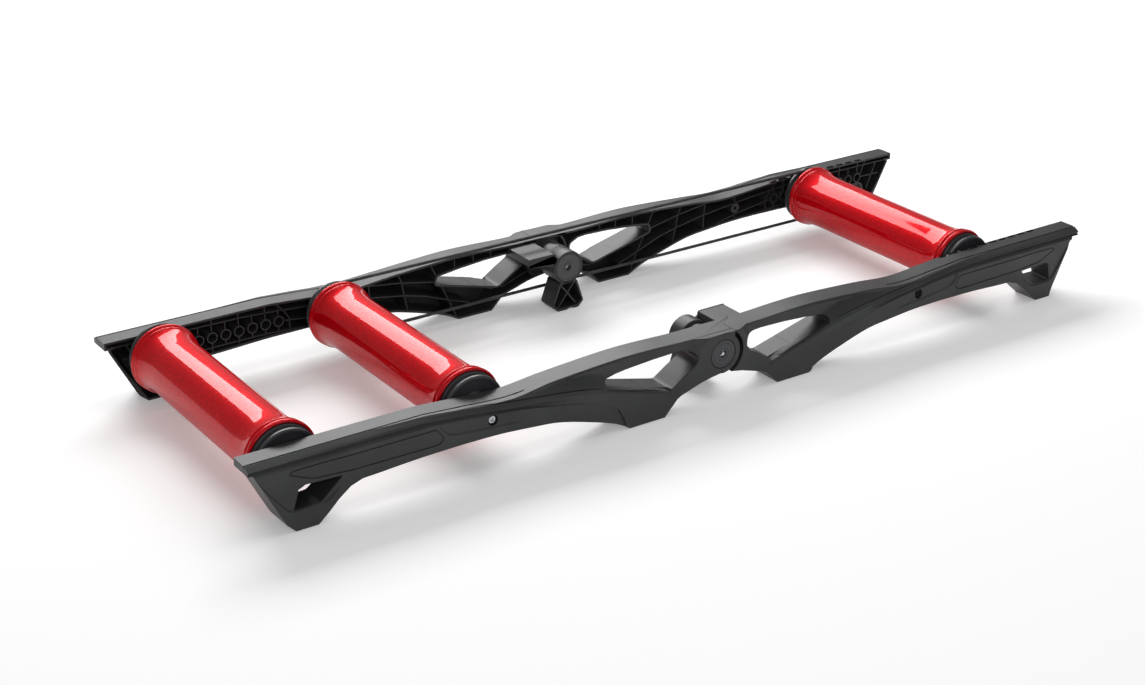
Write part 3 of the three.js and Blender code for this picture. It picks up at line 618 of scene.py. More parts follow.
def piece(name, work, finish_name, sharp=32.0):
    """An object of a work mesh in metres, with its sharp edges set by angle."""
    mesh = stored(work, name)
    mesh.materials.clear()
    mesh.materials.append(finish(finish_name))
    mesh.shade_smooth()
    mesh.set_sharp_from_angle(angle=math.radians(sharp))
    made = bpy.data.objects.new(name, mesh)
    bpy.context.scene.collection.objects.link(made)
    weighted = made.modifiers.new("Weighted normals", "WEIGHTED_NORMAL")
    weighted.keep_sharp = True
    weighted.weight = 80
    return made


def grown_piece(name, mesh, finish_name, sharp=30.0):
    """An object of a mesh that a tree has grown."""
    work = bmesh.new()
    work.from_mesh(mesh)
    return piece(name, cleaned(work, 1e-6), finish_name, sharp)


def turned_piece(cad_node, part, body, slot, finish_name, profile, spot, facets, sign=1, sharp=30.0):
    """Turns a closed profile of (radius, place) pairs about an axle, in place of one CAD node."""
    tree = bpy.data.node_groups.get("Turned about an axle") or turning_tree()
    section = bpy.data.meshes.new("section")
    section.from_pydata([(radius * MM, sign * place * MM, 0.0) for radius, place in profile],
                        [(i, (i + 1) % len(profile)) for i in range(len(profile))], [])
    mesh = grown(tree, section, {
        "Facets": facets, "Guide Radius": 10 * MM, "Place": (spot[0] * MM, 0.0, spot[1] * MM),
        "Material": finish(finish_name)})
    seated(grown_piece(f"{cad_node}_{part}", mesh, finish_name, sharp), body, slot, cad_node)


def seated(made, body, slot, *nodes):
    """Rides on a body and stands for its CAD nodes; the slot is not used."""
    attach(made, body)
    if nodes:
        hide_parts(*nodes)


def mover(where, side):
    """Moves rail coordinates (along, outwards, up) to the near or the far side of the rollers."""
    across = -1 if where == "near" else 1
    return lambda x, y, z: (-across * side * x, across * (OPEN_FACE + y), z)


# ---- Finishes ----
def linear(code):
    """A hex sRGB colour as the linear one that shaders take."""
    found = []
    for i in (0, 2, 4):
        c = int(code[i:i + 2], 16) / 255
        found.append(c / 12.92 if c <= 0.04045 else ((c + 0.055) / 1.055) ** 2.4)
    return (*found, 1.0)


def blank(name):
    """A material without nodes, and its tree."""
    made = bpy.data.materials.new(name)
    made.use_nodes = True
    made.node_tree.nodes.clear()
    return made, made.node_tree


def nylon(name, dark, light, rough, level):
    """Moulded plastic from a spark-eroded tool: the fine texture breaks up the sheen."""
    made, tree = blank(name)
    place = node(tree, "ShaderNodeTexCoord").outputs["Object"]
    # Grain of the eroded tool, about 0.8 mm so that it still shows at this distance
    grain = node(tree, "ShaderNodeTexNoise", {"Scale": 1250.0, "Detail": 3.0, "Roughness": 0.6},
                 {"Vector": place})
    # Slow change of tone from the flow of the melt, over 60 mm
    flow = node(tree, "ShaderNodeTexNoise", {"Scale": 17.0, "Detail": 2.0}, {"Vector": place})
    colour = node(tree, "ShaderNodeValToRGB", links={"Fac": flow}, stops=((0.3, dark), (0.7, light)))
    sheen = node(tree, "ShaderNodeMapRange", {
        "From Min": 0.2, "From Max": 0.8, "To Min": rough - 0.05, "To Max": rough + 0.07}, {"Value": grain})
    bump = node(tree, "ShaderNodeBump", {"Strength": 0.18, "Distance": 0.2 * MM}, {"Height": grain})
    shader = node(tree, "ShaderNodeBsdfPrincipled", {"IOR": 1.52, "Specular IOR Level": level},
                  {"Base Color": colour, "Roughness": sheen, "Normal": bump})
    node(tree, "ShaderNodeOutputMaterial", links={"Surface": shader})
    return made


def lacquered_aluminium(base, flake):
    """Red metallic lacquer on turned aluminium: flakes glitter under a clear coat with a crisp reflection."""
    made, tree = blank("Red metallic lacquer on aluminium")
    place = node(tree, "ShaderNodeTexCoord").outputs["Object"]
    # Flakes of about 1 mm, coarser than the real ones so that they show at this distance
    flakes = node(tree, "ShaderNodeTexVoronoi", {"Scale": 950.0, "Randomness": 1.0}, {"Vector": place})
    glitter = flakes.outputs["Color"]
    tint = node(tree, "ShaderNodeValToRGB", links={"Fac": glitter}, stops=((0.1, base), (0.95, flake)))
    # Each flake lies at its own small tilt
    bump = node(tree, "ShaderNodeBump", {"Strength": 0.16, "Distance": 0.3 * MM}, {"Height": glitter})
    # Orange peel of the sprayed coat, over about 6 mm
    peel = node(tree, "ShaderNodeTexNoise", {"Scale": 160.0, "Detail": 1.0}, {"Vector": place})
    wave = node(tree, "ShaderNodeBump", {"Strength": 0.03, "Distance": 0.4 * MM}, {"Height": peel})
    # The coloured layer lies under the coat, which has the gloss, so its own specular is off
    shader = node(tree, "ShaderNodeBsdfPrincipled", {
        "Metallic": 0.3, "Roughness": 0.4, "IOR": 1.5, "Specular IOR Level": 0.0,
        "Coat Weight": 0.55, "Coat Roughness": 0.05, "Coat IOR": 1.5,
    }, {"Base Color": tint, "Normal": bump, "Coat Normal": wave})
    node(tree, "ShaderNodeOutputMaterial", links={"Surface": shader})
    return made


def metal(name, colour, rough, lines):
    """Bright metal, with turned or drawn lines that stretch the reflection; lines per metre along Y."""
    made, tree = blank(name)
    place = node(tree, "ShaderNodeTexCoord").outputs["Object"]
    # Tool marks run round the axis, so the noise is stretched along X and Z
    stretched = node(tree, "ShaderNodeMapping", {"Scale": (60.0, lines, 60.0)}, {"Vector": place})
    marks = node(tree, "ShaderNodeTexNoise", {"Scale": 1.0, "Detail": 2.0}, {"Vector": stretched})
    dull = node(tree, "ShaderNodeMapRange", {"To Min": rough - 0.06, "To Max": rough + 0.1},
                {"Value": marks})
    tone = node(tree, "ShaderNodeValToRGB", links={"Fac": marks},
                stops=((0.25, linear(colour)), (0.8, linear("d4d6d8"))))
    bump = node(tree, "ShaderNodeBump", {"Strength": 0.06, "Distance": 0.1 * MM}, {"Height": marks})
    shader = node(tree, "ShaderNodeBsdfPrincipled", {"Metallic": 1.0},
                  {"Base Color": tone, "Roughness": dull, "Normal": bump})
    node(tree, "ShaderNodeOutputMaterial", links={"Surface": shader})
    return made


def polyurethane(dark):
    """Extruded polyurethane of the round belt: soft, matt, with a faint bloom."""
    made, tree = blank("Extruded polyurethane")
    place = node(tree, "ShaderNodeTexCoord").outputs["Object"]
    # Bloom comes up in patches of about 11 mm
    bloom = node(tree, "ShaderNodeTexNoise", {"Scale": 90.0, "Detail": 4.0}, {"Vector": place})
    colour = node(tree, "ShaderNodeValToRGB", links={"Fac": bloom},
                  stops=((0.3, dark), (0.75, linear("454846"))))
    bump = node(tree, "ShaderNodeBump", {"Strength": 0.1, "Distance": 0.2 * MM}, {"Height": bloom})
    shader = node(tree, "ShaderNodeBsdfPrincipled", {"Roughness": 0.62, "IOR": 1.5},
                  {"Base Color": colour, "Normal": bump})
    node(tree, "ShaderNodeOutputMaterial", links={"Surface": shader})
    return made


finishes_made = {}


def finish(name):
    """One of the finishes; all are made at the first call."""
    if not finishes_made:
        chosen = bpy.context.scene.roller_finishes
        finishes_made.update({
            # Glass-filled nylon: dull black, its texture greys under the lamps
            "rail": nylon("Glass-filled nylon, spark-eroded texture", tuple(chosen.rail),
                          tuple(chosen.rail_light), 0.43, 0.38),
            # ABS: a shade blacker and smoother than the nylon beside it
            "cover": nylon("ABS, fine texture", linear("222324"), linear("282929"), 0.36, 0.45),
            # Acetal: black with a soft sheen on the turned steps
            "cap": nylon("Acetal, smooth moulded", tuple(chosen.cap), linear("3c3d40"), 0.36, 0.5),
            # Nylon plug: greyer than the hub that it closes
            "disc": nylon("Grey nylon, satin", linear("3c3d3f"), linear("464749"), 0.36, 0.5),
            "drum": lacquered_aluminium(tuple(chosen.drum), tuple(chosen.drum_flake)),
            # Turned steel: fine lines 0.5 mm apart, bright where they catch a lamp
            "steel": metal("Bright turned steel", "9a9da1", 0.24, 2000.0),
            # Zinc plate: a little duller and bluer, its marks about 1 mm apart
            "zinc": metal("Zinc-plated steel", "a9adb0", 0.3, 900.0),
            "belt": polyurethane(tuple(chosen.belt)),
        })
    return finishes_made[name]


# ---- Side rails ----
def rail_curves(kind):
    """Outline and feature lines of a rail half."""
    top = spline(placed(TOP_LINE))
    band_end = [(HALF_LENGTH, END_HEIGHT), (HALF_LENGTH, END_HEIGHT - BAND_HEIGHT)]
    tip = band_end + placed(END_LEG)[::-1]
    under = spline(placed(UNDERSIDE))[::-1]
    foot = placed(MIDDLE_FOOT)
    neck = placed(NECK_UNDERSIDE)
    if kind == "inner":
        # The top is lowered under the other half's tongue
        shoulder = TONGUE_REACH + EAR_GAP
        lowered = END_HEIGHT - TONGUE_PLATE - EAR_GAP
        top = [(0.0, lowered), (shoulder, lowered), (shoulder + 0.05, 94.6)] + [
            p for p in top if p[0] > shoulder + 1]
    ledge = spline(placed(LEDGE_LINE))
    panel = spline(placed(PANEL_LINE))
    outline = top + tip + under + foot + neck
    window = rounded(placed(WINDOW), 4.0)
    foot_window = rounded(placed(FOOT_WINDOW), 3.5)
    return {
        "outline": outline,
        "wing": ledge + tip + under + foot + neck[:1],
        "band": ledge + band_end + panel[::-1] + foot + neck[:1],
        "neck": placed(NECK_TOP) + neck,
        "top": top,
        "ledge": ledge + band_end[:1],
        "panel": panel + band_end[1:],
        "windows": (window, foot_window),
        "rim": offset(outline, WALL),
        "rim_windows": (offset(window, -WALL), offset(foot_window, -WALL)),
        "cover": rounded(placed(COVER), 3.5),
        "leg_recess": rounded(placed(LEG_RECESS), 9.0),
        "middle_recess": rounded(placed(MIDDLE_RECESS), 8.0),
    }


def face_depth(curves, spots):
    """Depth of the rail's outer face, without covers, bolts and the hinge's nest."""
    u, z = spots[:, 0], spots[:, 1]
    in_wing = inside(spots, curves["wing"])
    in_band = inside(spots, curves["band"])
    below = distance(spots, curves["ledge"])
    from_top = distance(spots, curves["top"])
    from_panel = distance(spots, curves["panel"])
    # Places along the rail and depths are those that the photograph shows.
    # Upper beam: a lip along the top, a shallow cove under it and a foot that flares out to the ledge
    foot = np.interp(u, [80, 150, 250, 370, 440, 520], [40.5, 40, 38.6, 35, 31, STRIP_DEPTH])
    lip = BEAM_DEPTH - (BEAM_DEPTH - STRIP_DEPTH) * rise((u - 400) / 100)
    cove = 2.8 * rise((u - 90) / 90) * rise((430 - u) / 60)
    face = lip - cove * rise((from_top - 1.6) / 3.6) + cove * 0.8 * np.clip((from_top - 8) / 28, 0, 1)
    lap = rise(1 - below / 17) * rise((u - 120) / 60)
    crease = 1.9 * rise(1 - np.abs(below - 0.9) / 0.9) * rise((u - 170) / 60) * ~in_wing
    beam = face + (np.maximum(foot, face) - face) * lap - crease
    # Boss round the hinge, and the strut that runs up to it
    fall = rise((from_hinge(spots) - KNUCKLE_FLAT) / (KNUCKLE_RADIUS - KNUCKLE_FLAT))
    dome = SKIN_DEPTH - (SKIN_DEPTH - BEAM_DEPTH) * fall
    from_neck = distance(spots, curves["neck"], closed=True)
    strut = SKIN_DEPTH - (SKIN_DEPTH - BEAM_DEPTH + 3) * rise(from_neck / 1.4)
    strut[inside(spots, curves["neck"])] = SKIN_DEPTH
    # Band: a sloped strip, a dark cove under its edge, then a bead that runs out to the middle foot
    edge = np.interp(u, [80, 250, 400, 520], [42.4, 40.4, 37, LIP_DEPTH])
    strength = rise((u - 170) / 150)
    levels = [foot, edge, edge + 0.1, edge - 1.7 * strength, edge - 1.3 * strength,
              BAND_DEPTH - 5.4 * np.clip(z / 85, 0, 1)]
    band = foot
    for i in range(len(BAND_STEPS) - 1):
        t = np.clip((below - BAND_STEPS[i]) / (BAND_STEPS[i + 1] - BAND_STEPS[i]), 0, 1)
        band = band + (levels[i + 1] - levels[i]) * t
    # Panel below the band, with its own shallow recesses
    panel = SKIN_DEPTH - 3.6 * np.clip(z / 82, 0, 1)
    for name, depth, width, start, length in (("leg_recess", 1.9, 1.2, 545, 45),
                                              ("middle_recess", 1.5, 1.0, 290, 70)):
        gap = distance(spots, curves[name], closed=True)
        panel = panel - depth * inside(spots, curves[name]) * rise(gap / width) * rise((u - start) / length)
    panel = panel - 1.9 * rise(1 - from_panel / 2.2) * strength
    wing = np.where(in_band, band, panel)
    eased = np.minimum(wing, panel + (wing - panel) * rise(from_panel / 0.6))
    wing = np.where(in_band & (from_panel < 0.6), eased, wing)
    return np.where(in_wing, wing, np.maximum(beam, np.maximum(dome, strut) * (u < 110)))


def edge_drop(curves, spots, radius):
    """How much the face falls away at the rounded edges of the outline and the windows."""
    gap = distance(spots, curves["outline"], closed=True)
    for window in curves["windows"]:
        gap = np.minimum(gap, distance(spots, window, closed=True))
    # The strip along the tip keeps a crisp edge beside the groove
    crisp = rise((spots[:, 0] - 440) / 40) * (spots[:, 1] > 92)
    size = radius + (0.3 - radius) * crisp
    t = np.clip(gap / size, 0, 1)
    return size * (1 - np.sqrt(np.clip(1 - (1 - t) ** 2, 0, 1)))


def rib_lines(curves):
    """The ribs as edges in the rail's plane; each point carries the depth of the moulding's floor there."""
    chains = [placed(chain) for chain in RIBS]
    # An upright over and under each axle socket, every second one longer
    for i, u in enumerate(AXLE_SOCKETS):
        high, low = ((0.985, 0.47) if i % 2 else (0.893, 0.545))
        chains.append([(u, high * END_HEIGHT), (u, AXLE_HEIGHT + RIB_CLEARANCE)])
        chains.append([(u, AXLE_HEIGHT - RIB_CLEARANCE), (u, low * END_HEIGHT)])
    points, edges = [], []
    for chain in chains:
        fine = divided(chain, 4.0, closed=False)
        spots = np.array(fine)
        solid = inside(spots, offset(curves["outline"], 1.0))
        for window in curves["windows"]:
            solid &= ~inside(spots, window)
        solid &= from_hinge(spots) > NEST_RADIUS + WALL - 1
        for place in [MIDDLE_DRUM] + AXLE_SOCKETS:
            solid &= from_centre(spots, place, AXLE_HEIGHT) > RIB_CLEARANCE - 0.1
        for i, spot in enumerate(fine):
            points.append(spot)
            if i and solid[i] and solid[i - 1]:
                edges.append((len(points) - 2, len(points) - 1))
    floors = face_depth(curves, np.array(points)) - SKIN + 0.6
    mesh = bpy.data.meshes.new("rib lines")
    mesh.from_pydata([(x * MM, z * MM, 0.0) for x, z in points], edges, [])
    mesh.attributes.new("floor", "FLOAT", "POINT").data.foreach_set("value", (floors * MM).tolist())
    return mesh


def top_rows(top, depth, pockets):
    """Rows across the top of the rail: the line groove and the marks beside the axle sockets."""
    along, height = np.array(top).T

    def rows(u, z):
        """(depth, rise) of the rows at one place along the top."""
        if u < GROOVE_START - 12 or z < np.interp(u, along, height) - 0.3:
            return []
        groove = -depth if u > GROOVE_START else 0.0
        pocket = -MARK_DEPTH if pockets and any(abs(u - m) < MARK_HALF for m in AXLE_SOCKETS) else 0.0
        return [(GROOVE_OUTER + 0.15, 0.0), (GROOVE_OUTER, groove), (GROOVE_INNER, groove),
                (GROOVE_INNER - 0.15, 0.0), (MARK_WIDTH + 0.1, 0.0), (MARK_WIDTH, pocket), (0.05, pocket)]

    return rows


def marked_outline(outline, pockets):
    """The outline with corners where the marks beside the sockets start and end."""
    whole = divided(outline, 6.0)
    ends = [m + side * MARK_HALF + shift for m in AXLE_SOCKETS for side in (-1, 1) for shift in (-0.04, 0.04)]
    found = []
    for p, q in zip(whole, whole[1:] + whole[:1]):
        found.append(p)
        if pockets and min(p[1], q[1]) > 94.9 and p[0] > 440:
            between = [u for u in ends if min(p[0], q[0]) < u < max(p[0], q[0])]
            found += [(u, END_HEIGHT) for u in sorted(between, key=lambda u: abs(u - p[0]))]
    return found


def tongue_slot(height):
    """Where the inner half makes room for the other half's tongue."""
    reach = TONGUE_REACH + EAR_GAP
    return [(-1.0, HINGE_HEIGHT), (reach, HINGE_HEIGHT), (reach, height), (-1.0, height)]


def feature_lines(curves, kind, bolts, pockets, edge):
    """The lines along which a rail half's relief is cut."""
    outline = curves["outline"]
    windows = curves["windows"]
    lines = loops(marked_outline(outline, pockets))
    for drop in (edge * 0.27, edge):
        lines += loops(offset(divided(outline, 8.0), drop), *(offset(window, -drop) for window in windows))
    lines += loops(*(divided(window, 6.0) for window in windows), curves["rim"], *curves["rim_windows"])
    # Lines that the face's steps follow
    upper = [p for p in curves["top"] if p[0] > 60]
    for line, longest, gaps in ((curves["ledge"], 8.0, LEDGE_GAPS + BAND_STEPS),
                                (curves["panel"], 8.0, PANEL_GAPS), (upper, 9.0, TOP_GAPS)):
        fine = divided(line, longest, closed=False)
        lines += [(offset(fine, -gap, closed=False), False) for gap in gaps]
    for name, gaps in (("leg_recess", (0.0, 0.5, 1.2)), ("middle_recess", (0.0, 1.0))):
        lines += loops(*(offset(divided(curves[name], 8.0), gap) for gap in gaps))
    neck = divided(curves["neck"], 7.0)
    lines += loops(neck, offset(neck, -0.7), offset(neck, -1.4))
    lines += loops(*(circle(0.0, HINGE_HEIGHT, radius, 96) for radius in KNUCKLE_RINGS))
    lines += loops(divided(curves["cover"], 12.0))
    for place in bolts:
        lines += loops(circle(place, AXLE_HEIGHT, BOLT_RECESS, 28), circle(place, AXLE_HEIGHT, BOLT_BORE, 24))
    for radius, corners in ((SOCKET_BOSS, 28), (SOCKET_BORE, 24)):
        lines += loops(*(circle(place, AXLE_HEIGHT, radius, corners) for place in [MIDDLE_DRUM] + AXLE_SOCKETS))
    # Hinge: ear, nest, pin and cap
    for radius, corners in ((OUTER_EAR if kind == "outer" else INNER_EAR, 72), (NEST_RADIUS, 72),
                            (NEST_RADIUS + WALL, 72), (PIN_BORE, 32), (PIVOT_CAP_SEAT, 64)):
        lines += loops(circle(0.0, HINGE_HEIGHT, radius, corners))
    if kind == "outer":
        lines += loops(TONGUE_ROOT)
    else:
        lines.append((tongue_slot(100.0)[:3], False))
    return lines


def rail_parts(kind, hub, bolts, pockets, sizes):
    """All parts of one rail half, in rail coordinates: along, outwards, up."""
    curves = rail_curves(kind)
    outline = curves["outline"]
    ear_radius = OUTER_EAR if kind == "outer" else INNER_EAR
    edge = sizes.moulding_edge / MM
    under_cover = offset(curves["cover"], COVER_LAP)

    def bore(centres, place, radius):
        """Round a bolt; an end drum's bolt is under the cover, so this stays inside the cover's edge."""
        return (from_centre(centres, place, AXLE_HEIGHT) < radius) & (
            inside(centres, under_cover) | (place == MIDDLE_DRUM))

    def keep(centres):
        """Material: the outline and the ear, less windows, pin and bolts."""
        material = inside(centres, outline) | (from_hinge(centres) < ear_radius)
        if kind == "outer":
            material |= inside(centres, TONGUE_ROOT)
        for window in curves["windows"]:
            material &= ~inside(centres, window)
        material &= from_hinge(centres) > PIN_BORE
        for place in bolts:
            material &= ~bore(centres, place, BOLT_BORE)
        return material

    def front_kinds(centres):
        """What the outer side shows at each spot."""
        found = np.full(len(centres), FACE)
        found[inside(centres, curves["cover"])] = POCKET
        for place in bolts:
            found[bore(centres, place, BOLT_RECESS)] = RECESS
        if kind == "inner":
            found[(from_hinge(centres) < NEST_RADIUS) | inside(centres, tongue_slot(120.0))] = NEST
        else:
            found[from_hinge(centres) < PIVOT_CAP_SEAT] = CAP_SEAT
        return found

    def back_kinds(centres):
        """What the open side shows at each spot."""
        found = np.full(len(centres), FLOOR)
        found[~inside(centres, curves["rim"])] = RIM
        for line in curves["rim_windows"]:
            found[inside(centres, line)] = RIM
        for place in [MIDDLE_DRUM] + AXLE_SOCKETS:
            gap = from_centre(centres, place, AXLE_HEIGHT)
            found[gap < SOCKET_BOSS] = RIM
            if place not in bolts:
                found[gap < SOCKET_BORE] = BORE
        found[from_hinge(centres) < NEST_RADIUS + WALL] = RIM
        if kind == "outer":
            found[(from_hinge(centres) < NEST_RADIUS) | (centres[:, 0] < 0)] = EAR
        return found

    def face(spots):
        return face_depth(curves, spots) - edge_drop(curves, spots, edge) * (from_hinge(spots) > ear_radius - 2)

    front = {FACE: face, NEST: constant(EAR_SPLIT - EAR_GAP / 2), RECESS: constant(BOLT_FLOOR),
             POCKET: lambda spots: face_depth(curves, spots) - COVER_POCKET,
             CAP_SEAT: constant(SKIN_DEPTH - PIVOT_CAP_DEPTH)}
    back = {RIM: constant(0.0), FLOOR: lambda spots: face_depth(curves, spots) - SKIN,
            EAR: constant(EAR_SPLIT + EAR_GAP / 2), BORE: constant(SOCKET_FLOOR)}
    grid = [(x + 5.0 * (row % 2), 4.0 + row * 9.0) for row in range(11) for x in range(6, 685, 12)]
    moulding = relief(feature_lines(curves, kind, bolts, pockets, edge), keep, (front_kinds, front),
                      (back_kinds, back), spots_within(grid, outline),
                      top_rows(curves["top"], sizes.groove_depth / MM, pockets))
    return [moulding] + ([tongue()] if kind == "outer" else hub_parts(-hub))


def lean(x, y, z, kind):
    """The end wall of the moulding is moved out, at the open face and at the outer face."""
    wall = END_WALL_FOOT + (END_WALL_TOP - END_WALL_FOOT) * min(max(z / END_WALL_HEIGHT, 0.0), 1.0)
    if x < wall - END_WALL_REACH or z > END_WALL_HEIGHT + 0.1:
        return x, y, z
    share = rise((x - wall + END_WALL_REACH) / 24.0) * rise(z / 16.0 + 0.2) * rise((88.0 - z) / 6.0)
    open_lean, skin_lean = END_LEAN[kind]
    move = open_lean + (skin_lean - open_lean) * y / SKIN_DEPTH
    return min(x + float(share) * move, HALF_LENGTH - 0.2), y, z


def tongue():
    """Plate of the outer ear that laps over the other half's top."""
    plan = rounded([(NEST_RADIUS + WALL, BEAM_DEPTH), (-TONGUE_REACH, BEAM_DEPTH), (-TONGUE_REACH, EAR_SPLIT),
                    (-PRONG_REACH, 0.0), (NEST_RADIUS + WALL, 0.0)], 1.5)
    return stacked(plan, ((0.0, END_HEIGHT - TONGUE_PLATE), (0.0, 94.2), (0.25, 94.8), (0.8, END_HEIGHT)))


def hub_parts(end):
    """Hub, label plate and centre foot, which reach inwards from the inner ear; depths are negative there."""
    hub = rounded([
        (PIN_BORE, 3.0), (HUB_NECK_RADIUS, 3.0), (HUB_NECK_RADIUS, -18.0), (HUB_NECK_RADIUS - 2, -20.0),
        (HUB_RADIUS, -22.0), (HUB_RADIUS, end), (21.3, end), (21.3, end + 5), (PIN_BORE, end + 5)], 1.2, 3)
    # Label plate: a box with rounded edges, left bare, and a rib at its end
    box = rounded([(HUB_NECK_RADIUS - 2.5, 73.0), (67.0, 79.0), (67.0, 91.0), (HUB_NECK_RADIUS + 1.5, 91.0)],
                  2.0)
    rib = rounded([(HUB_NECK_RADIUS * 0.5, 73.6), (26.0, 76.4), (67.0, 79.0), (67.0, 81.6), (26.0, 88.4),
                   (HUB_NECK_RADIUS * 0.5, 78.8)], 2.0)
    return [lathe(hub, 72, HINGE_HEIGHT), prism(box, 3.0, end + 2.0, 0.8),
            prism(rib, end + 4.6, end + 2.0, 0.5), centre_foot(end)]


def centre_foot(end):
    """Flared box foot, open and cross ribbed towards the middle of the rollers."""
    back = end + 32.0
    root = HINGE_HEIGHT - HUB_NECK_RADIUS
    outline = rounded([(-15, root), (-27, 9), (-18, 0), (-9, 0), (-7.4, 1.6), (0, 1.6), (1.6, 0), (18, 0),
                       (27, 9), (15, root)], 2.0)
    cavity = rounded([(-12.4, root - 2.6), (-24.4, 10.3), (-16.7, 4.2), (16.7, 4.2), (24.4, 10.3),
                      (12.4, root - 2.6)], 2.0)
    crosses = [[(-turn * 14.3, root + 0.7), (-turn * 15.7, root - 0.7), (turn * 17.3, 1.9), (turn * 18.7, 3.3)]
               for turn in (1, -1)]
    lines = loops(divided(outline, 6.0), divided(cavity, 6.0), *(divided(cross, 8.0) for cross in crosses),
                  offset(outline, 0.7))
    solid, cross_rib, hollow = range(3)

    def kinds(centres):
        found = np.full(len(centres), solid)
        found[inside(centres, cavity)] = hollow
        for cross in crosses:
            found[inside(centres, cross) & inside(centres, cavity)] = cross_rib
        return found

    def skin(spots):
        return back - 0.7 + 0.7 * rise(distance(spots, outline, closed=True) / 0.7)

    return relief(lines, lambda centres: inside(centres, outline), (constant(0), {0: skin}),
                  (kinds, {solid: constant(end), cross_rib: constant(end + 2.6), hollow: constant(back - 2.6)}))


def build_rails(sizes):
    """The four rail halves, and the ribs that a tree stands up inside them."""
    ribs = rib_tree()
    for name, where, side, kind, body, end_drum in RAILS:
        moved = mover(where, side)
        parts = rail_parts(kind, HUB_LENGTH[where], (MIDDLE_DRUM, end_drum), end_drum == FRONT_DRUM, sizes)
        moulding = joined(parts, lambda x, y, z: moved(*lean(x, y, z, kind)))
        seated(piece(name + "_moulding", moulding, "rail"), body, "moulded_rail", name)
        mesh = grown(ribs, rib_lines(rail_curves(kind)), {
            "Rib Width": sizes.rib_width, "Rib Recess": 1.5 * MM, "Material": finish("rail")})
        for corner in mesh.vertices:
            along, up, depth = (value / MM for value in corner.co)
            corner.co = Vector(moved(along, depth, up)) * MM
        seated(grown_piece(name + "_ribs", mesh, "rail"), body, "moulded_rail")


def build_covers():
    """Covers that clip into the rails' outer recesses."""
    curves = rail_curves("outer")
    shape = offset(curves["cover"], COVER_JOINT)
    fine = divided(shape, 6.0)
    grid = [(x, 55.0 + row * 6) for row in range(5) for x in range(430, 640, 12)]

    def face(spots):
        t = np.clip(distance(spots, shape, closed=True) / 0.9, 0, 1)
        return face_depth(curves, spots) - 0.1 - 0.9 * (1 - np.sqrt(1 - (1 - t) ** 2))

    def back(spots):
        return face_depth(curves, spots) - COVER_THICKNESS

    cover = relief(loops(fine, offset(fine, 0.35), offset(fine, 0.9)), lambda centres: inside(centres, shape),
                   (constant(0), {0: face}), (constant(0), {0: back}), spots_within(grid, offset(shape, 2.0)))
    for name, where, side, _, body, _ in RAILS:
        made = piece(name.replace("rail", "cover_moulding"), joined([cover], mover(where, side)), "cover")
        seated(made, body, "axle_cover", name.replace("rail", "axle_cover"))


# ---- Drums, caps, bearings, axles, bolts, belt and hinges; profiles are (radius, place) pairs ----
def build_drums(sizes):
    """Drum shells: waist, concave flare, bead and round flange, the same to both sides."""
    end = DRUM_HALF_WIDTH
    half = spline([(DRUM_RADIUS, end - 48.5), (DRUM_RADIUS + 0.3, end - 40), (DRUM_RADIUS + 1.1, end - 28.5),
                   (DRUM_RADIUS + 2.4, end - 20), (DRUM_RADIUS + 3.9, end - 14.5)], 4)
    half += [(radius, end - back) for radius, back in (
        (44.9, 13.4), (45.7, 12.4), (45.9, 11.0), (45.5, 9.6), (44.5, 8.6), (44.2, 8.0), (44.8, 7.2),
        (45.9, 6.4), (46.6, 5.2), (46.9, 3.8), (46.7, 2.2), (46.1, 0.9), (45.2, 0.2), (44.4, 0), (43.5, 0.3),
        (43.2, 1.0), (43.2, 7), (37.5, 7))]
    profile = half + [(radius, -place) for radius, place in half[::-1]]
    for name, x, _ in DRUMS:
        turned_piece(name + "_drum", "shell", name + "_drum_assembly", "drum_shell", "drum", profile,
                     (x, AXLE_HEIGHT), sizes.drum_facets, sharp=40.0)


def build_end_caps(sizes):
    """End caps outside the drum: rim, belt groove, dished face with two steps, and the bearing's seat."""
    groove = BELT_PITCH_RADIUS - BELT_RADIUS - 0.5
    profile = [
        (8.0, 146.0), (36.9, 146.0), (36.9, 158.3), (42.6, 158.3), (42.6, 167.9), (41.9, 168.6),
        (groove + 1.2, 169.2), (groove, 170.6), (groove - 0.2, 172.0), (groove, 173.4), (groove + 1.2, 174.8),
        (41.6, 175.6), (42.3, 176.3), (42.4, 178.6), (41.9, 179.6), (40.8, 180.0), (38.6, 180.0), (37.8, 179.6),
        (37.2, 178.4), (35.0, 177.7), (24.0, 177.2), (20.5, 177.6), (19.4, 178.8), (18.6, 179.8), (17.6, 180.0),
        (14.0, 180.0), (13.3, 179.6), (13.3, 171.7), (8.0, 171.7)]
    for name, x, _ in DRUMS:
        for where, sign in SIDES:
            turned_piece(f"{name}_{where}_end_cap", "moulding", name + "_drum_assembly", "end_cap", "cap",
                         profile, (x, AXLE_HEIGHT), sizes.part_facets, sign, 34.0)


def build_bearings():
    """Ball bearings: two races with a seal dished between them."""
    face = [(5.45, 0.5), (5.8, 0.1), (7.3, 0.1), (7.6, 0.6), (10.9, 0.6), (11.2, 0.1), (12.6, 0.1), (13.0, 0.5)]
    profile = [(radius, 180.0 - dip) for radius, dip in face] + [
        (radius, 172.0 + dip) for radius, dip in face[::-1]]
    for name, x, _ in DRUMS:
        for where, sign in SIDES:
            turned_piece(f"{name}_{where}_bearing", "races", name + "_drum_assembly", "bearing_steel", "steel",
                         profile, (x, AXLE_HEIGHT), 48, sign)


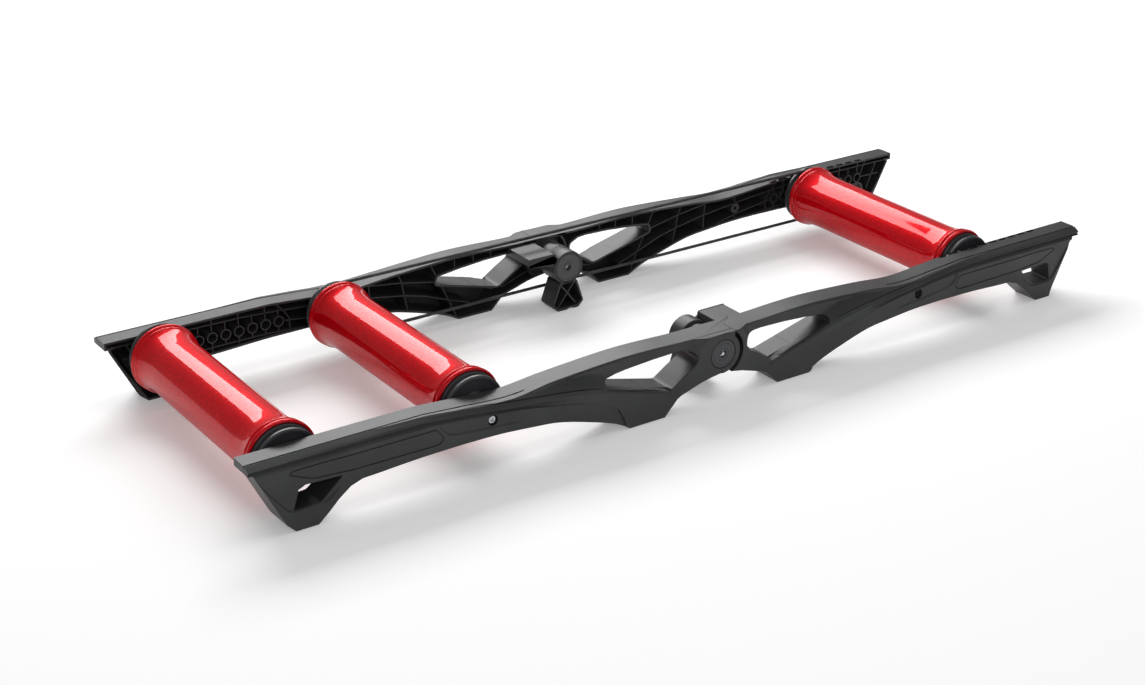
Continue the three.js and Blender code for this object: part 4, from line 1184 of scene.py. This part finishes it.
def build_axles():
    """Axles with threaded ends, and the spacers between bearings and rails."""
    axle = [(3.1, -184.7), (4.4, -184.7), (5.0, -184.1), (5.0, 184.1), (4.4, 184.7), (3.1, 184.7), (3.1, 171.7),
            (0.0, 171.7), (0.0, -171.7), (3.1, -171.7)]
    spacer = [(5.3, 180.6), (5.7, 180.3), (7.1, 180.3), (7.5, 180.7), (7.5, 184.3), (7.1, 184.7), (5.7, 184.7),
              (5.3, 184.4)]
    for name, x, body in DRUMS:
        turned_piece(name + "_axle", "rod", body, "steel_hardware", "steel", axle, (x, AXLE_HEIGHT), 40)
        for where, sign in SIDES:
            turned_piece(f"{name}_{where}_spacer", "tube", body, "steel_hardware", "zinc", spacer,
                         (x, AXLE_HEIGHT), 40, sign)


def hexagon(radius, place, count):
    """Points round a hexagon, as many as a circle has."""
    found = []
    for k in range(count):
        angle = 2 * math.pi * k / count
        reach = radius * math.cos(math.pi / 6) / math.cos((angle % (math.pi / 3)) - math.pi / 6)
        found.append((reach * math.cos(angle), place, reach * math.sin(angle)))
    return found


def socket_bolt():
    """Socket head bolt with a chamfered head; it points along Y and its seat is at the origin."""
    facets = 36
    tip = 173.2 - BOLT_SEAT
    profile = [(0.0, tip), (2.3, tip), (2.8, tip + 0.6), (2.8, -0.9), (3.0, -0.4), (4.9, -0.4), (5.0, -0.1),
               (5.0, 3.0), (4.8, 3.4), (4.3, 3.6), (3.0, 3.6)]
    verts, polygons = lathe(profile, facets)
    # The last ring turns into the hexagon, which goes down to the socket's floor
    ring = (len(profile) - 1) * facets
    mouth, floor = ring + facets, ring + 2 * facets
    polygons = polygons[:ring]
    verts += hexagon(2.7, 3.5, facets) + hexagon(2.6, 1.5, facets)
    for k in range(facets):
        n = (k + 1) % facets
        polygons.append([ring + k, ring + n, mouth + n, mouth + k])
        polygons.append([mouth + k, mouth + n, floor + n, floor + k])
    polygons.append([floor + k for k in range(facets)])
    return stored(joined([(verts, polygons)]), "bolt")


def build_bolts():
    """Axle bolts, one pattern for each half of the frame."""
    tree = bolt_tree()
    for body, names, first, last in (("rear_frame", ("rear", "middle"), -REAR_DRUM, -MIDDLE_DRUM),
                                     ("front_frame", ("front",), FRONT_DRUM, FRONT_DRUM)):
        mesh = grown(tree, socket_bolt(), {
            "Axles": len(names), "Axle Distance": (last - first) * MM, "Seat Width": 2 * BOLT_SEAT * MM,
            "Place": ((first + last) / 2 * MM, 0.0, AXLE_HEIGHT * MM), "Material": finish("zinc")})
        nodes = [f"{name}_{where}_axle_bolt" for name in names for where, _ in SIDES]
        seated(grown_piece(body + "_axle_bolt_heads", mesh, "zinc"), body, "steel_hardware", *nodes)


def build_belt(sizes):
    """Round drive belt, taut between the far caps of the middle and the front drum."""
    mesh = grown(belt_tree(), bpy.data.meshes.new("route"), {
        "Axle Distance": (FRONT_DRUM + MIDDLE_DRUM) * MM, "Pulley Radius": BELT_PITCH_RADIUS * MM,
        "Belt Radius": BELT_RADIUS * MM, "Steps": 400, "Sides": sizes.belt_sides, "Material": finish("belt"),
        "Place": ((FRONT_DRUM - MIDDLE_DRUM) / 2 * MM, BELT_OFFSET * MM, AXLE_HEIGHT * MM)})
    made = grown_piece("drive_belt_cord", mesh, "belt", 60.0)
    # The belt keeps its own normals
    made.modifiers.clear()
    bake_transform(made)
    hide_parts("drive_belt")


def build_hinges(sizes):
    """Hinge pins, pivot caps with a ring groove, and the discs in the hubs."""
    hinge = (0.0, HINGE_HEIGHT)
    face = PIN_FACE
    cap = [(radius, face - dip) for radius, dip in (
        (4.8, 2.8), (19.2, 2.7), (19.5, 2.3), (19.5, 0.6), (19.2, 0.15), (18.7, 0.0), (16.2, 0.0), (15.8, 0.5),
        (15.2, 0.6), (14.8, 0.2), (9.4, 0.35), (9.0, 0.9), (6.6, 0.9), (6.2, 0.5), (5.6, 0.35), (5.0, 0.6),
        (4.7, 1.6), (4.7, 2.7))]
    for (where, sign), body, other in zip(SIDES, ("rear_frame", "front_frame"), ("front_frame", "rear_frame")):
        end = OPEN_FACE - HUB_LENGTH[where]
        pin = [(0.0, face - 0.4), (2.2, face - 0.4), (2.8, face - 0.8), (2.9, face - 1.3), (2.9, 222.7),
               (8.0, 222.7), (8.0, end + 5.3), (0.0, end + 5.3)]
        turned_piece(where + "_hinge_pin", "rod", body, "steel_hardware", "steel", pin, hinge, 48, sign)
        turned_piece(where + "_pivot_cap", "disc", body, "end_cap", "cap", cap, hinge, sizes.part_facets, sign,
                     28.0)
        disc = [(radius, end + dip) for radius, dip in (
            (4.6, 4.7), (20.6, 4.7), (21.0, 4.3), (21.0, 0.5), (20.6, 0.05), (19.6, 0.0), (18.4, 0.05),
            (17.6, 0.7), (8.8, 0.9), (8.2, 0.3), (7.4, 0.05), (5.2, 0.05), (4.6, 0.6))]
        turned_piece(where + "_hub_disc", "insert", other, "end_cap", "disc", disc, hinge, sizes.part_facets,
                     sign, 28.0)


# ---- Stage ----
def set_camera(scene):
    """Camera at the photograph's viewpoint, as fitted to it."""
    azimuth, elevation, roll = math.radians(-35.449), math.radians(24.602), math.radians(0.882)
    focal_pixels, picture_width = 1965.989, 1145.0
    place = Vector((-1518.518, -2017.147, 1150.18)) * MM
    back = Vector((math.sin(azimuth) * math.cos(elevation), -math.cos(azimuth) * math.cos(elevation),
                   math.sin(elevation)))
    right = Vector((math.cos(azimuth), math.sin(azimuth), 0.0))
    up = back.cross(right)
    axes = (right * math.cos(roll) + up * math.sin(roll), up * math.cos(roll) - right * math.sin(roll), back,
            place)
    data = bpy.data.cameras.new("Camera")
    data.sensor_fit = "HORIZONTAL"
    data.sensor_width = 36.0
    data.lens = focal_pixels * data.sensor_width / picture_width
    data.clip_end = 50.0
    camera = bpy.data.objects.new("Camera", data)
    scene.collection.objects.link(camera)
    camera.matrix_world = Matrix((*(tuple(axis[i] for axis in axes) for i in range(3)), (0, 0, 0, 1)))
    scene.camera = camera


def lay_floor(scene, studio):
    """A floor of white paper that keeps the rollers' shadow."""
    work = bmesh.new()
    bmesh.ops.create_grid(work, x_segments=1, y_segments=1, size=studio.floor_size)
    mesh = stored(work, "Floor")
    floor = bpy.data.objects.new("Floor", mesh)
    scene.collection.objects.link(floor)
    floor.location = (0, 0, -0.2 * MM)
    paper, tree = blank("White paper sweep")
    # The paper bleaches to white for whoever looks at it, also in a mirror, but lights nothing by that
    path = node(tree, "ShaderNodeLightPath").outputs
    mirrored = node(tree, "ShaderNodeMath", links={0: path["Is Camera Ray"], 1: path["Is Glossy Ray"]},
                    operation="MAXIMUM")
    seen = node(tree, "ShaderNodeMath", links={0: mirrored, 1: path["Is Transmission Ray"]},
                operation="MAXIMUM")
    bleach = node(tree, "ShaderNodeMath", {1: studio.floor_bleach}, {0: seen}, operation="MULTIPLY")
    white = node(tree, "ShaderNodeEmission", {"Color": (1, 1, 1, 1)}, {"Strength": bleach})
    matt = node(tree, "ShaderNodeBsdfDiffuse", {"Color": tuple(studio.floor_colour)})
    sheet = node(tree, "ShaderNodeAddShader", links={0: matt, 1: white})
    node(tree, "ShaderNodeOutputMaterial", links={"Surface": sheet})
    mesh.materials.append(paper)


def light_room(scene, studio):
    """Even light from all round, two softboxes and a scrim overhead."""
    world = bpy.data.worlds.new("Studio")
    scene.world = world
    world.use_nodes = True
    world.node_tree.nodes.clear()
    room = node(world.node_tree, "ShaderNodeBackground", {
        "Color": (1, 1, 1, 1), "Strength": studio.room_light})
    node(world.node_tree, "ShaderNodeOutputWorld", links={"Surface": room})
    # The back softbox lies where the drums' long bright bands mirror it
    for name, kind, size, place, aim, power in (
            ("Back softbox", "AREA", (3.15, 1.2), (0.67, 2.4, 2.05), (0.67, 0.0, 0.05), studio.back_light),
            ("Front fill", "AREA", (2.4, 1.3), (-1.3, -3.0, 1.5), (0.0, 0.0, 0.05), studio.front_light),
            ("Overhead scrim", "SUN", None, (0.9, -0.1, 3.0), (0.0, 0.0, 0.0), studio.top_light)):
        light = bpy.data.lights.new(name, kind)
        if kind == "AREA":
            light.shape = "RECTANGLE"
            light.size, light.size_y = size
        else:
            light.angle = math.radians(34)
        light.energy = power
        lamp = bpy.data.objects.new(name, light)
        scene.collection.objects.link(lamp)
        lamp.location = place
        lamp.rotation_euler = (Vector(aim) - Vector(place)).to_track_quat("-Z", "Y").to_euler()


def build_stage(studio):
    """Camera, floor and soft studio light."""
    scene = bpy.context.scene
    set_camera(scene)
    lay_floor(scene, studio)
    light_room(scene, studio)
    scene.view_settings.view_transform = "Standard"


# ---- What a user may change, the operators and the panel ----
def length_setting(name, description, millimetres, low, high):
    """A length, given in millimetres and kept in metres."""
    return bpy.props.FloatProperty(name=name, description=description, default=millimetres * MM, min=low * MM,
                                   max=high * MM, unit="LENGTH", subtype="DISTANCE")


def amount_setting(name, description, default, high, unit="NONE"):
    """An amount from nothing up."""
    return bpy.props.FloatProperty(name=name, description=description, default=default, min=0.0, max=high,
                                   unit=unit)


def count_setting(name, description, default, low, high):
    """A whole number."""
    return bpy.props.IntProperty(name=name, description=description, default=default, min=low, max=high)


def colour_setting(name, description, default):
    """A linear colour with alpha."""
    return bpy.props.FloatVectorProperty(name=name, description=description, subtype="COLOR", size=4, min=0.0,
                                         max=1.0, default=default)


class RollerSizes(bpy.types.PropertyGroup):
    """Sizes of the fine detail, which the CAD frame leaves open."""
    moulding_edge: length_setting("Moulding edge", "Radius of the rails' outer edges", 1.3, 0.3, 2.0)
    groove_depth: length_setting("Top groove", "Depth of the line groove along the rails' tops", 2.2, 0.2, 2.4)
    rib_width: length_setting("Rib width", "Thickness of the ribs inside the rails", 1.3, 0.8, 2.5)
    drum_facets: count_setting("Drum facets", "Facets round a drum", 144, 24, 256)
    part_facets: count_setting("Part facets", "Facets round an end cap, a pivot cap or a hub disc", 96, 24, 192)
    belt_sides: count_setting("Belt sides", "Sides of the round belt's section", 14, 6, 32)


class RollerFinishes(bpy.types.PropertyGroup):
    """Colours of the finishes."""
    rail: colour_setting("Rails", "Darker tone of the moulded rails", linear("2d2e2f"))
    rail_light: colour_setting("Rails, flow", "Lighter tone of the moulded rails", linear("373839"))
    drum: colour_setting("Drums", "Lacquer of the drums between its flakes", linear("b2000e"))
    drum_flake: colour_setting("Drums, flakes", "Flakes in the lacquer of the drums", linear("e80818"))
    cap: colour_setting("End caps", "End caps and pivot caps", linear("323336"))
    belt: colour_setting("Belt", "Drive belt", linear("2b2d2c"))


class RollerStudio(bpy.types.PropertyGroup):
    """Floor and lamps."""
    floor_size: length_setting("Floor", "Half the side of the floor", 9000.0, 2000.0, 30000.0)
    floor_colour: colour_setting("Floor colour", "Colour of the paper floor", (0.86, 0.86, 0.86, 1.0))
    floor_bleach: amount_setting("Floor bleach", "White that camera and mirrors see on top of the lit floor",
                                 0.25, 1.0)
    room_light: amount_setting("Room light", "Strength of the light from all round", 0.28, 2.0)
    back_light: amount_setting("Back softbox", "Power of the softbox behind the rollers", 104.0, 500.0, "POWER")
    front_light: amount_setting("Front fill", "Power of the weak softbox beside the camera", 18.0, 500.0,
                                "POWER")
    top_light: amount_setting("Overhead scrim", "Strength of the broad light from above", 0.4, 20.0)


class ROLLERS_OT_stage(bpy.types.Operator):
    """Set up the camera, the floor and the lamps"""
    bl_idname = "rollers.stage"
    bl_label = "Stage"

    def execute(self, context):
        build_stage(context.scene.roller_studio)
        return {"FINISHED"}


class ROLLERS_OT_drums(bpy.types.Operator):
    """Turn the three drum shells with their flared ends and flanges"""
    bl_idname = "rollers.drums"
    bl_label = "Drums"

    def execute(self, context):
        build_drums(context.scene.roller_sizes)
        return {"FINISHED"}


class ROLLERS_OT_end_caps(bpy.types.Operator):
    """Turn the end caps with their belt grooves"""
    bl_idname = "rollers.end_caps"
    bl_label = "End caps"

    def execute(self, context):
        build_end_caps(context.scene.roller_sizes)
        return {"FINISHED"}


class ROLLERS_OT_bearings(bpy.types.Operator):
    """Make the shielded ball bearings"""
    bl_idname = "rollers.bearings"
    bl_label = "Bearings"

    def execute(self, context):
        build_bearings()
        return {"FINISHED"}


class ROLLERS_OT_axles(bpy.types.Operator):
    """Make the axles and their spacers"""
    bl_idname = "rollers.axles"
    bl_label = "Axles and spacers"

    def execute(self, context):
        build_axles()
        return {"FINISHED"}


class ROLLERS_OT_bolts(bpy.types.Operator):
    """Set a socket head bolt at each axle end"""
    bl_idname = "rollers.bolts"
    bl_label = "Axle bolts"

    def execute(self, context):
        build_bolts()
        return {"FINISHED"}


class ROLLERS_OT_belt(bpy.types.Operator):
    """Lay the drive belt round the middle and the front drum's far caps"""
    bl_idname = "rollers.belt"
    bl_label = "Drive belt"

    def execute(self, context):
        build_belt(context.scene.roller_sizes)
        return {"FINISHED"}


class ROLLERS_OT_hinges(bpy.types.Operator):
    """Make the hinge pins, the pivot caps and the hub discs"""
    bl_idname = "rollers.hinges"
    bl_label = "Hinges"

    def execute(self, context):
        build_hinges(context.scene.roller_sizes)
        return {"FINISHED"}


class ROLLERS_OT_covers(bpy.types.Operator):
    """Make the covers that clip into the rails"""
    bl_idname = "rollers.covers"
    bl_label = "Rail covers"

    def execute(self, context):
        build_covers()
        return {"FINISHED"}


class ROLLERS_OT_rails(bpy.types.Operator):
    """Mould the four rail halves with their hinge ears, hubs, feet and ribs"""
    bl_idname = "rollers.rails"
    bl_label = "Side rails"

    def execute(self, context):
        build_rails(context.scene.roller_sizes)
        return {"FINISHED"}


PIECE_OPERATORS = (ROLLERS_OT_stage, ROLLERS_OT_drums, ROLLERS_OT_end_caps, ROLLERS_OT_bearings,
                   ROLLERS_OT_axles, ROLLERS_OT_bolts, ROLLERS_OT_belt, ROLLERS_OT_hinges,
                   ROLLERS_OT_covers, ROLLERS_OT_rails)
SETTINGS = {"roller_sizes": RollerSizes, "roller_finishes": RollerFinishes, "roller_studio": RollerStudio}


class ROLLERS_PT_pieces(bpy.types.Panel):
    """Sizes, finishes and pieces of the rollers"""
    bl_idname = "ROLLERS_PT_pieces"
    bl_label = "Bike rollers"
    bl_space_type = "VIEW_3D"
    bl_region_type = "UI"
    bl_category = "Rollers"

    def draw(self, context):
        for settings in SETTINGS:
            group = getattr(context.scene, settings)
            box = self.layout.box()
            for name in group.__annotations__:
                box.prop(group, name)
        for operator in PIECE_OPERATORS:
            self.layout.operator(operator.bl_idname)


CLASSES = (*SETTINGS.values(), *PIECE_OPERATORS, ROLLERS_PT_pieces)


def register():
    for each in CLASSES:
        bpy.utils.register_class(each)
    for settings, group in SETTINGS.items():
        setattr(bpy.types.Scene, settings, bpy.props.PointerProperty(type=group))


def unregister():
    for settings in SETTINGS:
        delattr(bpy.types.Scene, settings)
    for each in reversed(CLASSES):
        bpy.utils.unregister_class(each)


def main():
    register()
    bpy.ops.rollers.stage()
    bpy.ops.rollers.drums()
    bpy.ops.rollers.end_caps()
    bpy.ops.rollers.bearings()
    bpy.ops.rollers.axles()
    bpy.ops.rollers.bolts()
    bpy.ops.rollers.belt()
    bpy.ops.rollers.hinges()
    bpy.ops.rollers.covers()
    bpy.ops.rollers.rails()


if __name__ == "__main__":
    main()
